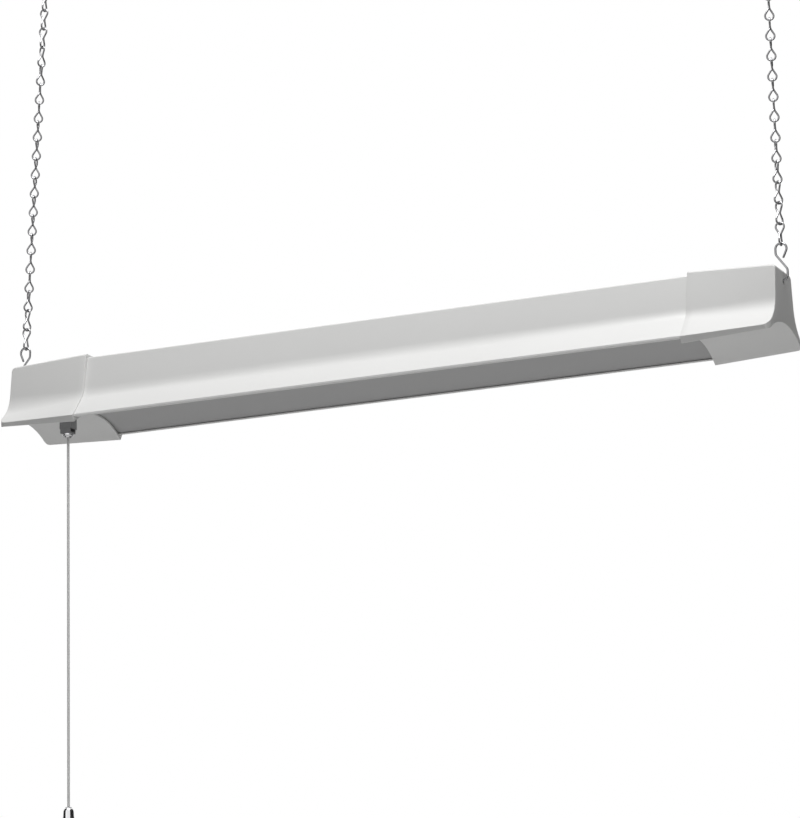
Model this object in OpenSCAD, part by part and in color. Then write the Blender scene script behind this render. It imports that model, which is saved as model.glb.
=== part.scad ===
// Hanging shop light: a rolled steel hood with an opal lens between two moulded
// end caps, hung by two jack chains and S-hooks from two screw hooks in a ceiling,
// and switched by a pull cord. Millimetres. The origin is the middle point between
// the two screw hooks, on the ceiling; +Z is up and +X runs along the light.

/* [Light] */
// Length over both end walls
light_len = 900; // [800:10:1250]
// Visible length of each end cap
cap_len = 95.5; // [85:0.5:120]
// How far the hood goes into each cap
insert_len = 20; // [16:1:26]

/* [Hood] */
// Height of the flat top over the caps' lowest lip
hood_top = 79.6; // [77:0.1:90]
// Half width where the top and a wall would meet
hood_half = 22.6; // [21:0.2:28]
// Lean of the walls from upright
wall_lean = 10.7; // [8:0.1:12]
// Lean of the flared flanges from upright
flange_lean = 40; // [34:0.5:46]
// Radius of the bend between wall and flange
flare_r = 32; // [20:1:40]
// Radius of the top corners
corner_r = 2.4; // [1.6:0.1:4]
// Half width over the flange edges
flange_half = 54; // [50:0.2:60]
// Height of the flange edges
flange_z = 8.1; // [7.5:0.1:11]
// Thickness of the steel sheet
sheet = 0.8; // [0.5:0.1:1.2]
// Width of the lip folded in under each flange
hem_w = 4.8; // [3.6:0.1:6]
// Height of that fold
hem_h = 2.5; // [2:0.1:3]

/* [End caps] */
// How far the caps' tops and walls stand out from the hood
cap_step = 3.6; // [2.6:0.1:5]
// How far the caps' flanges stand out from the hood's
flange_step = 1.7; // [1.2:0.1:2.4]
// How far the caps' lips reach past the flange edges
lip_reach = 3.4; // [2.5:0.1:5]
// Wall of the caps
cap_wall = 2.2; // [1.6:0.1:2.8]
// End wall of the caps
end_wall = 2.2; // [1.8:0.1:3]
// Thickness of the arched skin under the caps
skin = 2; // [1.4:0.1:2.4]
// Half width of the skin's arch
arch_half = 52.6; // [49:0.2:58]
// Rise of the skin's arch over the lips
arch_rise = 16.5; // [14:0.5:18]
// How much the top falls towards the end
end_drop = 4.4; // [2:0.2:8]
// How much the lips rise towards the end
end_lift = 4.5; // [2:0.1:6]
// How much flatter the flanges are at the end, in degrees
end_flare = 8; // [0:1:22]
// How much larger the radius of the bend is at the end
end_bend = 11.6; // [0:0.2:16]
// How much more upright the walls are at the end, in degrees
end_upright = 3.2; // [0:0.2:5]
// How much narrower the flanges are at the end, each side
end_narrow = 2; // [0:0.2:4]
// Radius of the caps' corners seen from above
plan_r = 9; // [6:1:16]
// Radius between the caps' tops and end walls
edge_r = 4; // [2:0.5:6]
// Diameter of the hanging hole in each end wall
hole_d = 6; // [5:0.5:8]
// Height of that hole's centre
hole_z = 65.5; // [62:0.5:67]

/* [Lens] */
// Thickness of the opal lens
lens_t = 1.6; // [1.2:0.1:2]
// Height of the lens's underside in the middle
lens_peak = 19.2; // [19.2:0.1:22]

/* [Chain and hooks] */
// Links in each chain
link_count = 20; // [12:1:30]
// Wire of the chain
link_wire = 2; // [1.6:0.1:2.4]
// Overall length of one link
link_len = 26.4; // [24:0.2:30]
// Overall width of a link's loop
link_w = 11; // [10:0.2:13]
// Wire of the S-hooks
hook_wire = 2.4; // [2:0.1:3]
// Inside width of the S-hooks' loops
hook_eye = 9.6; // [9:0.2:12]
// Distance between the wire's middle at the top and bottom of an S-hook
hook_reach = 40; // [36:1:50]
// Slant of the S-hooks' middle bars from upright
hook_slant = 36; // [30:1:42]
// Lean of the left chain towards the middle
lean_left = 3.4; // [0:0.2:6]
// Lean of the right chain towards the middle
lean_right = 0; // [0:0.2:6]
// Wire of the ceiling's screw hooks
ceiling_wire = 3.5; // [3:0.1:4.5]
// Inside width of the screw hooks' bend
ceiling_eye = 12.5; // [11:0.5:18]
// Radius of the screw hooks' shanks
shank_r = 2; // [1.6:0.1:2.5]
// Length of the shanks in the ceiling
shank_len = 24; // [16:1:40]

/* [Pull switch] */
// Distance of the switch from the left end
switch_from_end = 80.7; // [78:0.1:84]
// Distance of the cord inside the front flange's edge
switch_from_edge = 13.5; // [11:0.1:15]
// Width of the switch along the light
switch_w = 14.8; // [14:0.2:17]
// Depth of the switch
switch_d = 12.5; // [12:0.1:13.5]
// Height of the switch's box
switch_h = 21.2; // [20:0.2:22]
// How far the box hangs under the lips
switch_drop = 10; // [8:0.5:13]
// Travel of the cord from rest to its stop
pull_travel = 6; // [3:0.5:6.5]
// Diameter of the chrome nut under the switch
nut_d = 12; // [10:0.5:14]
// Diameter of the pull cord
cord_d = 3; // [2:0.1:3.2]
// Height of the bell pull
bell_h = 17; // [14:0.5:24]

/* [Inside] */
// Half width of the gear tray
tray_half = 20; // [17:0.5:20]
// Height of the tray's web over the lips
tray_z = 34; // [30:0.5:38]
// Gap between each end of the gear tray and the end cap
tray_gap = 4.5; // [2:0.5:15]
// Gap between each tray end and its LED board
board_end_gap = 2; // [1:0.5:20]
// Gap between the two LED boards
board_gap = 24; // [22:1:40]
// Width of the LED boards
board_w = 20; // [16:1:30]
// LED packages on each board
led_count = 30; // [10:1:48]
// Length of the LED driver
driver_len = 150; // [130:5:200]
// Width of the LED driver
driver_w = 30; // [26:1:32]
// Height of the LED driver
driver_h = 22; // [18:1:28]

/* [Hidden] */
$fn = 48;

fit = 0.3;          // between the hood and what slides over or under it
seat = 0.1;         // between wires that hang on each other
run = 0.05;         // round clearance of a turning pin
over = 1;           // how far a cutting shape runs past the face that it cuts
corner_steps = 3;   // flats in a cap's top corner
flare_steps = 7;    // flats in a cap's flare
cap_rings = 5;      // sections along a cap

half_len = light_len / 2;
seam_x = half_len - cap_len;
hood_len = 2 * (seam_x + insert_len);
hook_x = half_len - end_wall / 2;

// ---- outlines ----
// A half outline runs from the top's corner down the wall, round the flare and along
// the flange to its edge. A shape holds: corner y and z, corner radius, wall lean,
// edge y and z, flange lean, flare radius.
hood_shape = [hood_half, hood_top, corner_r, wall_lean, flange_half, flange_z, flange_lean, flare_r];
cap_edge = [flange_half, flange_z] + flange_step * [cos(flange_lean), sin(flange_lean)]
    + lip_reach * [sin(flange_lean), -cos(flange_lean)];
cap_seam_shape = [
    hood_half - cap_step * tan(wall_lean) + cap_step / cos(wall_lean), hood_top + cap_step,
    corner_r + 0.6, wall_lean, cap_edge[0], cap_edge[1], flange_lean, flare_r - cap_step
];
cap_end_shape = cap_seam_shape
    + [0, -end_drop, 0, -end_upright, -end_narrow, end_lift / 2.5, end_flare, end_bend];

function inset(s, o) = [
    s[0] + o * tan(s[3]) - o / cos(s[3]), s[1] - o, max(s[2] - o, 0.3), s[3],
    s[4] - o * cos(s[6]), s[5] - o * sin(s[6]), s[6], s[7] + o
];
function bend_z(s) = (s[4] + s[5] * tan(s[6]) - s[0] - s[1] * tan(s[3])) / (tan(s[6]) - tan(s[3]));
function bend_y(s) = s[4] - (bend_z(s) - s[5]) * tan(s[6]);
function flare_start(s) = [bend_y(s), bend_z(s)]
    - s[7] * tan((s[6] - s[3]) / 2) * [sin(s[3]), -cos(s[3])];
function flare_centre(s) = flare_start(s) + s[7] * [cos(s[3]), sin(s[3])];
function corner_centre(s) = [s[0] - s[2] * tan((90 - s[3]) / 2), s[1] - s[2]];
function half_outline(s, nc, nf) = concat(
    [for (i = [0:nc]) let (a = 90 - (90 - s[3]) * i / nc) corner_centre(s) + s[2] * [cos(a), sin(a)]],
    [for (i = [0:nf]) let (a = s[3] + (s[6] - s[3]) * i / nf) flare_centre(s) - s[7] * [cos(a), sin(a)]],
    [[s[4], s[5]]]
);
function mirrored(h) = [for (i = [len(h) - 2:-1:1]) [-h[i][0], h[i][1]]];
function both_sides(h) = concat(h, [for (i = [len(h) - 1:-1:0]) [-h[i][0], h[i][1]]]);

// ---- general shapes ----
// Extrudes an outline drawn in (y, z) along X, from x0 to x1
module along_x(x0, x1) {
    translate([x0, 0, 0]) rotate([90, 0, 90]) linear_extrude(x1 - x0) children();
}

// Skins a row of closed rings of equal count
module loft(rings) {
    n = len(rings[0]);
    last = len(rings) - 1;
    sides = [for (i = [0:last - 1], j = [0:n - 1]) each [
        [i * n + j, i * n + (j + 1) % n, (i + 1) * n + (j + 1) % n],
        [i * n + j, (i + 1) * n + (j + 1) % n, (i + 1) * n + j]
    ]];
    polyhedron(
        points = [for (ring = rings) each ring],
        faces = concat(
            sides,
            [for (j = [0:n / 2 - 2]) [n - 1 - j, n - 2 - j, j + 1, j]],
            [for (j = [0:n / 2 - 2]) last * n * [1, 1, 1, 1] + [j, j + 1, n - 2 - j, n - 1 - j]]
        ),
        convexity = 6
    );
}

function unit(v) = v / norm(v);
function tangent_at(p, i) = unit(p[min(i + 1, len(p) - 1)] - p[max(i - 1, 0)]);
// Softens a route's corners, keeping its two ends
function soften(p) = concat(
    [p[0]],
    [for (i = [0:len(p) - 2]) each [p[i] * 0.75 + p[i + 1] * 0.25, p[i] * 0.25 + p[i + 1] * 0.75]],
    [p[len(p) - 1]]
);
function ring_about(c, t, ref, r, n) = let (u = unit(cross(t, ref)), v = cross(t, u))
    [for (k = [0:n - 1]) c + r * (cos(360 * k / n) * u - sin(360 * k / n) * v)];
// A round tube along a route
module tube(route, d, n, ref) {
    loft([for (i = [0:len(route) - 1]) ring_about(route[i], tangent_at(route, i), ref, d / 2, n)]);
}

// A bent wire's arc in the XZ plane: centre (x, z), from angle a, through angle sweep
module wire_arc(c, r, d, a, sweep) {
    translate([c[0], 0, c[1]]) rotate([90, 0, 0]) rotate([0, 0, a])
        rotate_extrude(angle = sweep, $fn = 64) translate([r, 0]) circle(d = d, $fn = 24);
}

// A straight wire in the XZ plane from p, leaning a degrees from up, of length l
module wire_rod(p, a, l, d) {
    translate([p[0], 0, p[1]]) rotate([0, a, 0]) cylinder(h = l, d = d, $fn = 24);
}

// Fills the joint of two lengths of wire
module wire_weld(p, d) {
    translate([p[0], 0, p[1]]) sphere(d = d + 0.04, $fn = 32);
}

module pan_screw(head_r, head_h, r, l) {
    cylinder(r = head_r, h = head_h);
    translate([0, 0, -l]) cylinder(r = r, h = l + head_h / 2);
}

// ---- hanging geometry, heights over the lips ----
hook_r = (hook_eye + hook_wire) / 2;
hook_h = hook_reach / 2 - hook_r;
bend_h = hook_r / sin(hook_slant);
wire_z = hole_z + hole_d / 2 - hook_wire / 2 - 4 * seat;
pivot_z = wire_z + hook_r;
link_half = (link_len - link_wire) / 2;
link_seat = (hook_wire + link_wire) / 2 + seat;
first_z = wire_z + hook_reach - link_seat;                 // bottom link's lowest wire
link_pitch = 2 * link_half - link_wire - seat;
last_z = first_z + 2 * link_half + (link_count - 1) * link_pitch;
upper_z = last_z - link_seat;                              // upper S-hook's lowest wire
across_z = upper_z + hook_reach - (hook_wire + ceiling_wire) / 2 - seat;
reach = upper_z - pivot_z;                                 // chain pivot to hook pivot
left_top_x = -hook_x + reach * tan(lean_left);
right_top_x = hook_x - reach * tan(lean_right);
mid_x = (left_top_x + right_top_x) / 2;
bend_r = (ceiling_eye + ceiling_wire) / 2;
neck_r = 6;
collar_h = 1.6;
neck_z = across_z + bend_r + bend_r * cos(45)
    + (bend_r - neck_r * tan(22.5)) * cos(45) + neck_r * sin(45);
ceiling_z = neck_z + collar_h;

module hung() translate([-mid_x, 0, -ceiling_z]) children();

// ---- hooks and chains ----
module s_hook(low_end) {
    arm_lean = 25;
    arm = 8.5;
    elbow = [hook_r * cos(arm_lean), hook_h - hook_r * sin(arm_lean)];
    half_bar = sqrt(pow(bend_h, 2) - pow(hook_r, 2));
    bar_end = half_bar * [sin(hook_slant), -cos(hook_slant)];
    leg = hook_h - bend_h;
    wire_rod(elbow - arm * [sin(arm_lean), cos(arm_lean)], arm_lean, arm, hook_wire);
    wire_arc([0, hook_h], hook_r, hook_wire, -arm_lean, 180 + arm_lean);
    wire_rod([-hook_r, bend_h], 0, leg, hook_wire);
    wire_arc([0, bend_h], hook_r, hook_wire, 180, hook_slant);
    wire_rod(bar_end, -hook_slant, 2 * half_bar, hook_wire);
    wire_arc([0, -bend_h], hook_r, hook_wire, 0, hook_slant);
    wire_rod([hook_r, -hook_h], 0, leg, hook_wire);
    wire_arc([0, -hook_h], hook_r, hook_wire, -low_end, low_end);
    wire_weld(elbow, hook_wire);
    for (s = [-1, 1]) {
        wire_weld(s * bar_end, hook_wire);
        wire_weld(s * [hook_r, -bend_h], hook_wire);
        wire_weld(s * [hook_r, -hook_h], hook_wire);
    }
}

module ceiling_hook() {
    c = across_z + bend_r;
    tip = 250;
    slope = bend_r - neck_r * tan(22.5);
    shoulder = [-bend_r * cos(45), c + bend_r * cos(45)];
    wire_arc([0, c], bend_r, ceiling_wire, 135, tip);
    wire_weld(shoulder, ceiling_wire);
    wire_rod(shoulder, 45, slope, ceiling_wire);
    wire_weld(shoulder + slope * [cos(45), cos(45)], ceiling_wire);
    wire_arc([-neck_r, neck_z], neck_r, ceiling_wire, -45, 45);
    wire_weld([0, neck_z], ceiling_wire);
    translate([0, 0, neck_z]) cylinder(d = ceiling_wire, h = collar_h / 2);
    translate([0, 0, ceiling_z - collar_h / 2]) cylinder(r = ceiling_wire, h = collar_h / 2);
    translate([0, 0, ceiling_z - collar_h / 2]) cylinder(r = shank_r, h = shank_len + collar_h / 2 - 5);
    translate([0, 0, ceiling_z + shank_len - 5]) cylinder(r1 = shank_r, r2 = 0.3, h = 5);
}

module link() {
    r = (link_w - link_wire) / 2;
    c = link_half - r;
    side = 0.4 * link_wire;
    lean = asin(r / norm([side, c])) - atan(side / c);
    leg = sqrt(pow(side, 2) + pow(c, 2) - pow(r, 2));
    start = 0.4;
    sphere(r = link_wire, $fn = 32);
    for (turn = [[0, 0, 0], [0, 180, 90]]) rotate(turn) {
        wire_arc([0, c], r, link_wire, -lean, 180 + 2 * lean);
        for (s = [-1, 1]) {
            wire_rod([s * (side + start * sin(lean)), start * cos(lean)], s * lean, leg - start,
                link_wire);
            wire_weld([s * (side + leg * sin(lean)), leg * cos(lean)], link_wire);
        }
    }
}

// A chain of upright links over its hook's pivot, leaning by its own angle
module chain(lean, pitch) {
    translate([0, 0, pivot_z]) rotate([0, lean, 0]) translate([0, 0, -pivot_z])
        for (i = [0:link_count - 1])
            translate([0, 0, first_z + link_half + i * pitch]) link();
}

module ceiling_hook_left() color("silver") hung() translate([left_top_x, 0, 0]) ceiling_hook();
module ceiling_hook_right() color("silver") hung() translate([right_top_x, 0, 0]) ceiling_hook();

module upper_s_hook() {
    translate([0, 0, upper_z + hook_reach / 2]) rotate([0, 0, 90]) s_hook(205);
}
module upper_s_hook_left() color("silver") hung() translate([left_top_x, 0, 0]) upper_s_hook();
module upper_s_hook_right() color("silver") hung() translate([right_top_x, 0, 0]) upper_s_hook();

module chain_left() color("darkgray") hung() translate([-hook_x, 0, 0])
    chain(lean_left, link_pitch + (reach / cos(lean_left) - reach) / link_count);
module chain_right() color("darkgray") hung() translate([hook_x, 0, 0])
    chain(-lean_right, link_pitch + (reach / cos(lean_right) - reach) / link_count);

module lower_s_hook(lean) {
    translate([0, 0, pivot_z]) rotate([0, lean, 0]) translate([0, 0, hook_h]) s_hook(160);
}
module lower_s_hook_left() color("silver") hung() translate([-hook_x, 0, 0])
    mirror([1, 0, 0]) lower_s_hook(-lean_left);
module lower_s_hook_right() color("silver") hung() translate([hook_x, 0, 0]) lower_s_hook(-lean_right);

// ---- hood and lens ----
module hood_outline(s) polygon(both_sides(half_outline(s, 8, 24)));

switch_x = -half_len + switch_from_end;
switch_y = flange_half - switch_from_edge;
switch_top = switch_h - switch_drop;
notch_gap = 1.4;
notch_x = switch_x + switch_w / 2 + notch_gap;
notch_y = -switch_y + switch_d / 2 + notch_gap;
// Room for the switch in the hood's and the lens's left end
module switch_notch() {
    translate([-half_len, -flange_half - over, -switch_drop])
        cube([half_len + notch_x, flange_half + over + notch_y, switch_drop + switch_top + 6]);
}

tray_len = 2 * (seam_x - tray_gap);
cap_screw_x = seam_x + insert_len / 2;
cap_screw_y = 11;
tray_screw_x = tray_len / 2 - 20;
tray_lip = 11;
tray_screw_y = tray_half - tray_lip + 4;
screw_r = 1.5;
hole_gap = 0.15;

// A screw's hole through a sheet that lies from z up
module screw_hole(z, t) {
    translate([0, 0, z - over]) cylinder(r = screw_r + hole_gap, h = t + 2 * over);
}

module at_cap_screws() for (x = [-1, 1], y = [-1, 1])
    translate([x * cap_screw_x, y * cap_screw_y, 0]) children();
module at_tray_screws() for (x = [-1, 1], y = [-1, 1])
    translate([x * tray_screw_x, y * tray_screw_y, 0]) children();

block_x = -tray_len / 2 + 32;
ground_at = [block_x + 34, 14];

// Half of the sheet's section: down the outside, round the hem and back up the inside
function sheet_section(s) = concat(
    [[0, s[1]]],
    half_outline(s, 8, 24),
    [[s[4], s[5] - hem_h], [s[4] - hem_w, s[5] - hem_h], [s[4] - hem_w, s[5] - hem_h + sheet],
     [s[4] - sheet, s[5] - hem_h + sheet]],
    let (i = half_outline(inset(s, sheet), 8, 24), e = i[len(i) - 1])
        [[s[4] - sheet, e[1] + (e[0] - s[4] + sheet) / tan(s[6])], for (k = [len(i) - 2:-1:0]) i[k]],
    [[0, s[1] - sheet]]
);

module hood() color("whitesmoke") hung() difference() {
    along_x(-hood_len / 2, hood_len / 2)
        polygon(concat(sheet_section(hood_shape), mirrored(sheet_section(hood_shape))));
    switch_notch();
    at_cap_screws() screw_hole(hood_top - sheet, sheet);
    at_tray_screws() screw_hole(hood_top - sheet, sheet);
}

lens_half = flange_half - sheet - 1.4;
lens_edge = flange_z - hem_h + sheet;
lens_sag = lens_peak - lens_edge;
lens_r = (pow(lens_half, 2) + pow(lens_sag, 2)) / (2 * lens_sag);
module lens() color("white", 0.85) hung() difference() {
    along_x(-seam_x - insert_len / 2, seam_x + insert_len / 2) intersection() {
        translate([0, lens_peak - lens_r]) difference() {
            circle(r = lens_r + lens_t, $fn = 180);
            circle(r = lens_r, $fn = 180);
        }
        translate([-lens_half, lens_edge]) square([2 * lens_half, lens_peak]);
    }
    switch_notch();
}

// ---- end caps, drawn at the right end with x = 0 at the seam ----
arch_r = (pow(arch_half, 2) + pow(arch_rise, 2)) / (2 * arch_rise);
arch_tilt = atan((end_lift - 0.7) / cap_len);
lip_in = 1.2;

function cap_ring(x, o, low) = let (
        k = x / cap_len,
        s = inset(cap_seam_shape * (1 - k) + cap_end_shape * k, o),
        lift = end_lift * k - low,
        h = concat(half_outline(s, corner_steps, flare_steps), [[arch_half + lip_in - o, lift]])
    ) [for (p = both_sides(h)) [x, p[0], p[1]]];
module cap_block(x0, x1, o, low) {
    loft([for (i = [0:cap_rings - 1]) cap_ring(x0 + (x1 - x0) * i / (cap_rings - 1), o, low)]);
}
// The arch under the cap, as a cylinder along it, grown by g
module arch_core(g) {
    translate([-10, 0, arch_rise - arch_r - 10 * tan(arch_tilt)]) rotate([0, 90 - arch_tilt, 0])
        cylinder(r = arch_r + g, h = cap_len + 20, $fn = 180);
}
// What rounding takes off a corner whose second side slopes back by a degrees
module corner_waste(r, a) {
    c = [-r, r * tan(a) - r / cos(a)];
    difference() {
        polygon([
            c + r * [sin(a), cos(a)], [c[0] + r * sin(a), 2 * r],
            [over, 2 * r], [over, c[1]], [0, c[1]]
        ]);
        translate(c) circle(r = r, $fn = 64);
    }
}

module cap_shell() {
    end_top = hood_top + cap_step - end_drop;
    end_half = cap_edge[0] - end_narrow;
    difference() {
        cap_block(0, cap_len, 0, 0);
        arch_core(0);
        difference() {
            cap_block(insert_len - over, cap_len - end_wall, cap_wall, 4);
            arch_core(skin);
        }
        difference() {
            along_x(-over, insert_len + fit) {
                hood_outline(inset(hood_shape, -fit));
                translate([-flange_half - fit, flange_z - hem_h - fit])
                    square(2 * [flange_half + fit, hem_h]);
            }
            arch_core(skin);
        }
        translate([cap_len, arch_half + over, end_top]) rotate([90, 0, 0])
            linear_extrude(2 * (arch_half + over)) corner_waste(edge_r, atan(end_drop / cap_len));
        for (s = [0, 1]) mirror([0, s, 0]) translate([cap_len, end_half, -over])
            linear_extrude(end_top / 2) corner_waste(plan_r, atan(end_narrow / cap_len));
        translate([cap_len - end_wall - over, 0, hole_z]) rotate([0, 90, 0])
            cylinder(d = hole_d, h = end_wall + 2 * over);
        for (y = [-1, 1]) translate([cap_screw_x - seam_x, y * cap_screw_y, 0]) {
            translate([0, 0, hood_top]) cylinder(r = screw_r + hole_gap, h = 2 * cap_step);
            translate([0, 0, screw_seat]) cylinder(r = screw_head + hole_gap, h = 2 * cap_step);
        }
    }
}
screw_head = 3.2;
screw_seat = hood_top + cap_step - 1.2;

module end_cap_right() color("white") hung() translate([seam_x, 0, 0]) cap_shell();

inlet_x = -half_len + 38;
inlet_y = 8;
inlet_r = 7.9;
inlet_top = hood_top + cap_step - end_drop * (-inlet_x - seam_x) / cap_len;
module at_inlet() translate([inlet_x, inlet_y, inlet_top])
    rotate([0, -atan(end_drop / cap_len), 0]) children();
module end_cap_left() color("white") hung() difference() {
    mirror([1, 0, 0]) translate([seam_x, 0, 0]) cap_shell();
    translate([switch_x - switch_w / 2, -switch_y - switch_d / 2, -over])
        cube([switch_w, switch_d, arch_rise]);
    at_inlet() translate([0, 0, -2 * cap_wall]) cylinder(r = inlet_r + hole_gap, h = 4 * cap_wall);
}

module cap_screws() color("gainsboro") hung()
    at_cap_screws() translate([0, 0, screw_seat]) pan_screw(screw_head, 2, screw_r, 8);

// ---- gear tray, boards and driver ----
tray_top = hood_top - sheet;
module gear_tray() color("whitesmoke") hung() difference() {
    along_x(-tray_len / 2, tray_len / 2) {
        translate([-tray_half, tray_z]) square([2 * tray_half, sheet]);
        for (s = [-1, 1]) {
            translate([s > 0 ? tray_half - sheet : -tray_half, tray_z])
                square([sheet, tray_top - tray_z]);
            translate([s > 0 ? tray_half - tray_lip : -tray_half, tray_top - sheet])
                square([tray_lip, sheet]);
        }
    }
    at_tray_screws() screw_hole(tray_top - sheet, sheet);
    at_board_screws() screw_hole(tray_z, sheet);
    at_driver_screws() screw_hole(tray_z, sheet);
    translate([ground_at[0], ground_at[1], 0]) screw_hole(tray_z, sheet);
    for (s = [-1, 1]) translate([s * led_hole_x, 0, tray_z - over])
        cylinder(d = led_hole_d, h = sheet + 2 * over);
}
led_hole_x = 5;
led_hole_d = 7;

module tray_screws() color("silver") hung()
    at_tray_screws() translate([0, 0, hood_top]) pan_screw(screw_head, 1.2, screw_r, 6);

board_t = 1.2;
board_len = tray_len / 2 - board_end_gap - board_gap / 2;
board_x = (board_len + board_gap) / 2;
board_hole = board_len / 2 - 6;
module at_board_screws() for (side = [-1, 1], x = [-board_hole, board_hole], y = [-1, 1])
    translate([side * board_x + x, y * (board_w / 2 - 3.5), 0]) children();
module led_board(side) difference() {
    translate([side * board_x - board_len / 2, -board_w / 2, tray_z - board_t])
        cube([board_len, board_w, board_t]);
    at_board_screws() screw_hole(tray_z - board_t, board_t);
}
module led_board_left() color("white") hung() led_board(-1);
module led_board_right() color("white") hung() led_board(1);

led = [2.8, 3.5, 0.7];
led_pitch = (board_len - 40) / led_count;
module leds(side) for (i = [0:led_count - 1])
    translate([side * board_x + (i - (led_count - 1) / 2) * led_pitch, 0, tray_z - board_t - led[2]])
        translate([-led[0] / 2, -led[1] / 2, 0]) cube(led);
module leds_left() color("khaki") hung() leds(-1);
module leds_right() color("khaki") hung() leds(1);

module board_screws() color("silver") hung()
    at_board_screws() translate([0, 0, tray_z - board_t]) mirror([0, 0, 1]) pan_screw(2.6, 1.6, screw_r, 4);

connector = [7, 9, 4.5];
connector_x = board_x - board_len / 2 + 14;
module board_connectors() color("ivory") hung() for (s = [-1, 1])
    translate([s * connector_x - connector[0] / 2, -connector[1] / 2, tray_z - board_t - connector[2]])
        cube(connector);

driver_end = block_x + 93;
driver_x = driver_end + driver_len / 2;
driver_z = tray_z + sheet;
case_t = 0.8;
foot = 8;
module at_driver_screws() for (s = [-1, 1], y = [-1, 1])
    translate([driver_x + s * (driver_len / 2 + foot / 2), y * (driver_w / 2 - 2.5), 0]) children();
module driver_base() color("lightgray") hung() difference() {
    union() {
        translate([driver_x - driver_len / 2 - foot, -driver_w / 2, driver_z])
            cube([driver_len + 2 * foot, driver_w, case_t]);
        for (y = [-driver_w / 2, driver_w / 2 - case_t])
            translate([driver_x - driver_len / 2 + 2, y, driver_z])
                cube([driver_len - 4, case_t, driver_h - 2 * case_t]);
    }
    at_driver_screws() screw_hole(driver_z, case_t);
}
module driver_cover() color("gainsboro") hung() difference() {
    translate([driver_x - driver_len / 2, -driver_w / 2 - case_t - hole_gap, driver_z + case_t + hole_gap])
        cube([driver_len, driver_w + 2 * (case_t + hole_gap), driver_h - case_t - hole_gap]);
    translate([driver_x - driver_len / 2 + case_t, -driver_w / 2 - hole_gap, driver_z])
        cube([driver_len - 2 * case_t, driver_w + 2 * hole_gap, driver_h - case_t]);
    for (s = [-1, 1]) translate([driver_x + s * driver_len / 2, 0, driver_wire_z]) rotate([0, 90, 0])
        cylinder(d = 8, h = 4 * case_t, center = true);
}
driver_wire_z = driver_z + driver_h - 7;
pcb_z = driver_z + case_t + 3;
module driver_board() color("darkgreen") hung() {
    translate([driver_x - driver_len / 2 + 6, -driver_w / 2 + 2, pcb_z])
        cube([driver_len - 12, driver_w - 4, pcb_t]);
    for (x = [-1, 1], y = [-1, 1])
        translate([driver_x + x * (driver_len / 2 - 12), y * (driver_w / 2 - 6), driver_z + case_t])
            cylinder(d = 4, h = pcb_z - driver_z - case_t);
}
pcb_t = 1.6;
part_z = pcb_z + pcb_t;
module driver_transformer() color("goldenrod") hung() translate([driver_x + 12, 0, part_z]) {
    translate([-9, -8, 0]) cube([18, 16, 2]);
    translate([-7, -6, 2]) cube([14, 12, 9]);
    translate([-9, -8, 11]) cube([18, 16, 2]);
}
module driver_capacitors() color("midnightblue") hung() for (x = [-1, 1])
    translate([driver_x + x * (driver_len / 2 - 29), 0, part_z]) cylinder(d = 10, h = 13);
module driver_choke() color("darkorange") hung() translate([driver_x - 20, 0, part_z + choke_r / 2])
    rotate([0, 0, 90]) rotate_extrude() translate([choke_r, 0]) circle(d = choke_r);
choke_r = 5;
module driver_screws() color("silver") hung()
    at_driver_screws() translate([0, 0, driver_z + case_t]) pan_screw(2.8, 1.6, screw_r, 5);

// ---- mains terminals and wires ----
block = [16, 26, 14];
block_top = tray_z + sheet + block[2];
poles = [-8, 0, 8];
module terminal_block() color("ivory") hung() difference() {
    translate([block_x - block[0] / 2, -block[1] / 2, tray_z + sheet]) cube(block);
    for (y = poles) translate([block_x, y, block_top - 5]) cylinder(d = 5, h = 5 + over);
}
module terminal_screws() color("gold") hung() for (y = poles) translate([block_x, y, block_top - 5])
    difference() {
        cylinder(d = 4.6, h = 3);
        translate([-3, -0.4, 2]) cube([6, 0.8, 2]);
    }
module inlet_bushing() color("dimgray") hung() at_inlet() difference() {
    union() {
        translate([0, 0, 0.05]) cylinder(r = inlet_r + 1.8, h = 1.6);
        translate([0, 0, -cap_wall - 4]) cylinder(r = inlet_r, h = cap_wall + 5);
    }
    translate([0, 0, -cap_wall - 5]) cylinder(r = inlet_r - 2.4, h = cap_wall + 8);
}
lug_t = 0.8;
module ground_screw() color("forestgreen") hung()
    translate([ground_at[0], ground_at[1], tray_z + sheet + lug_t]) pan_screw(3.4, 2, screw_r, 3);

wire_d = 1.8;
// Points along the line from a to b, seen from above: share, distance beside it and height
function between(a, b, route) = [
    for (p = route) [a[0] + p[0] * (b[0] - a[0]), a[1] + p[0] * (b[1] - a[1]) + p[1], p[2]]
];
live_route = between([switch_x + 1.3, -switch_y], [block_x - block[0] / 2 - 0.1, 0], [
    [1, -8, 41], [0.811, -0.3, 41], [0.573, 7.3, 41], [0.334, 10, 38],
    [0.143, 8.7, 30], [0.024, 6.5, 21], [0, 2.5, 15.5], [0, 1.5, 12.3]
]);
switched_route = between([switch_x - 1.7, -switch_y], [driver_end + 4, 0], [
    [0, -1.5, 12.3], [0, -0.5, 16], [0.013, 4, 25], [0.033, 11.2, 36],
    [0.1, 16.5, 46], [0.18, 19.2, 53], [0.3, 15.4, 60], [0.473, 9.3, 62],
    [0.727, 2.1, 61], [0.873, 1.1, 56], [0.94, 0.8, 49.8], [1, -1.6, 49.8]
]);
neutral_route = between([block_x + block[0] / 2 + 0.1, 0], [driver_end + 4, 0], [
    [0, 0, 41], [0.089, 0, 41], [0.224, 1, 46], [0.449, 3, 52],
    [0.696, 2.5, 52], [0.876, 1.8, 49.8], [1, 1.8, 49.8]
]);
ground_points = [[8.1, 8, 41], [14, 8, 41], [20, 10, 40], [25, 13, 37.5], [28, 14, 36.7], [30.4, 14, 36.7]];
ground_route = [for (p = ground_points) [block_x + p[0], p[1], p[2]]];
led_start = driver_end + driver_len - 4;
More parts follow.
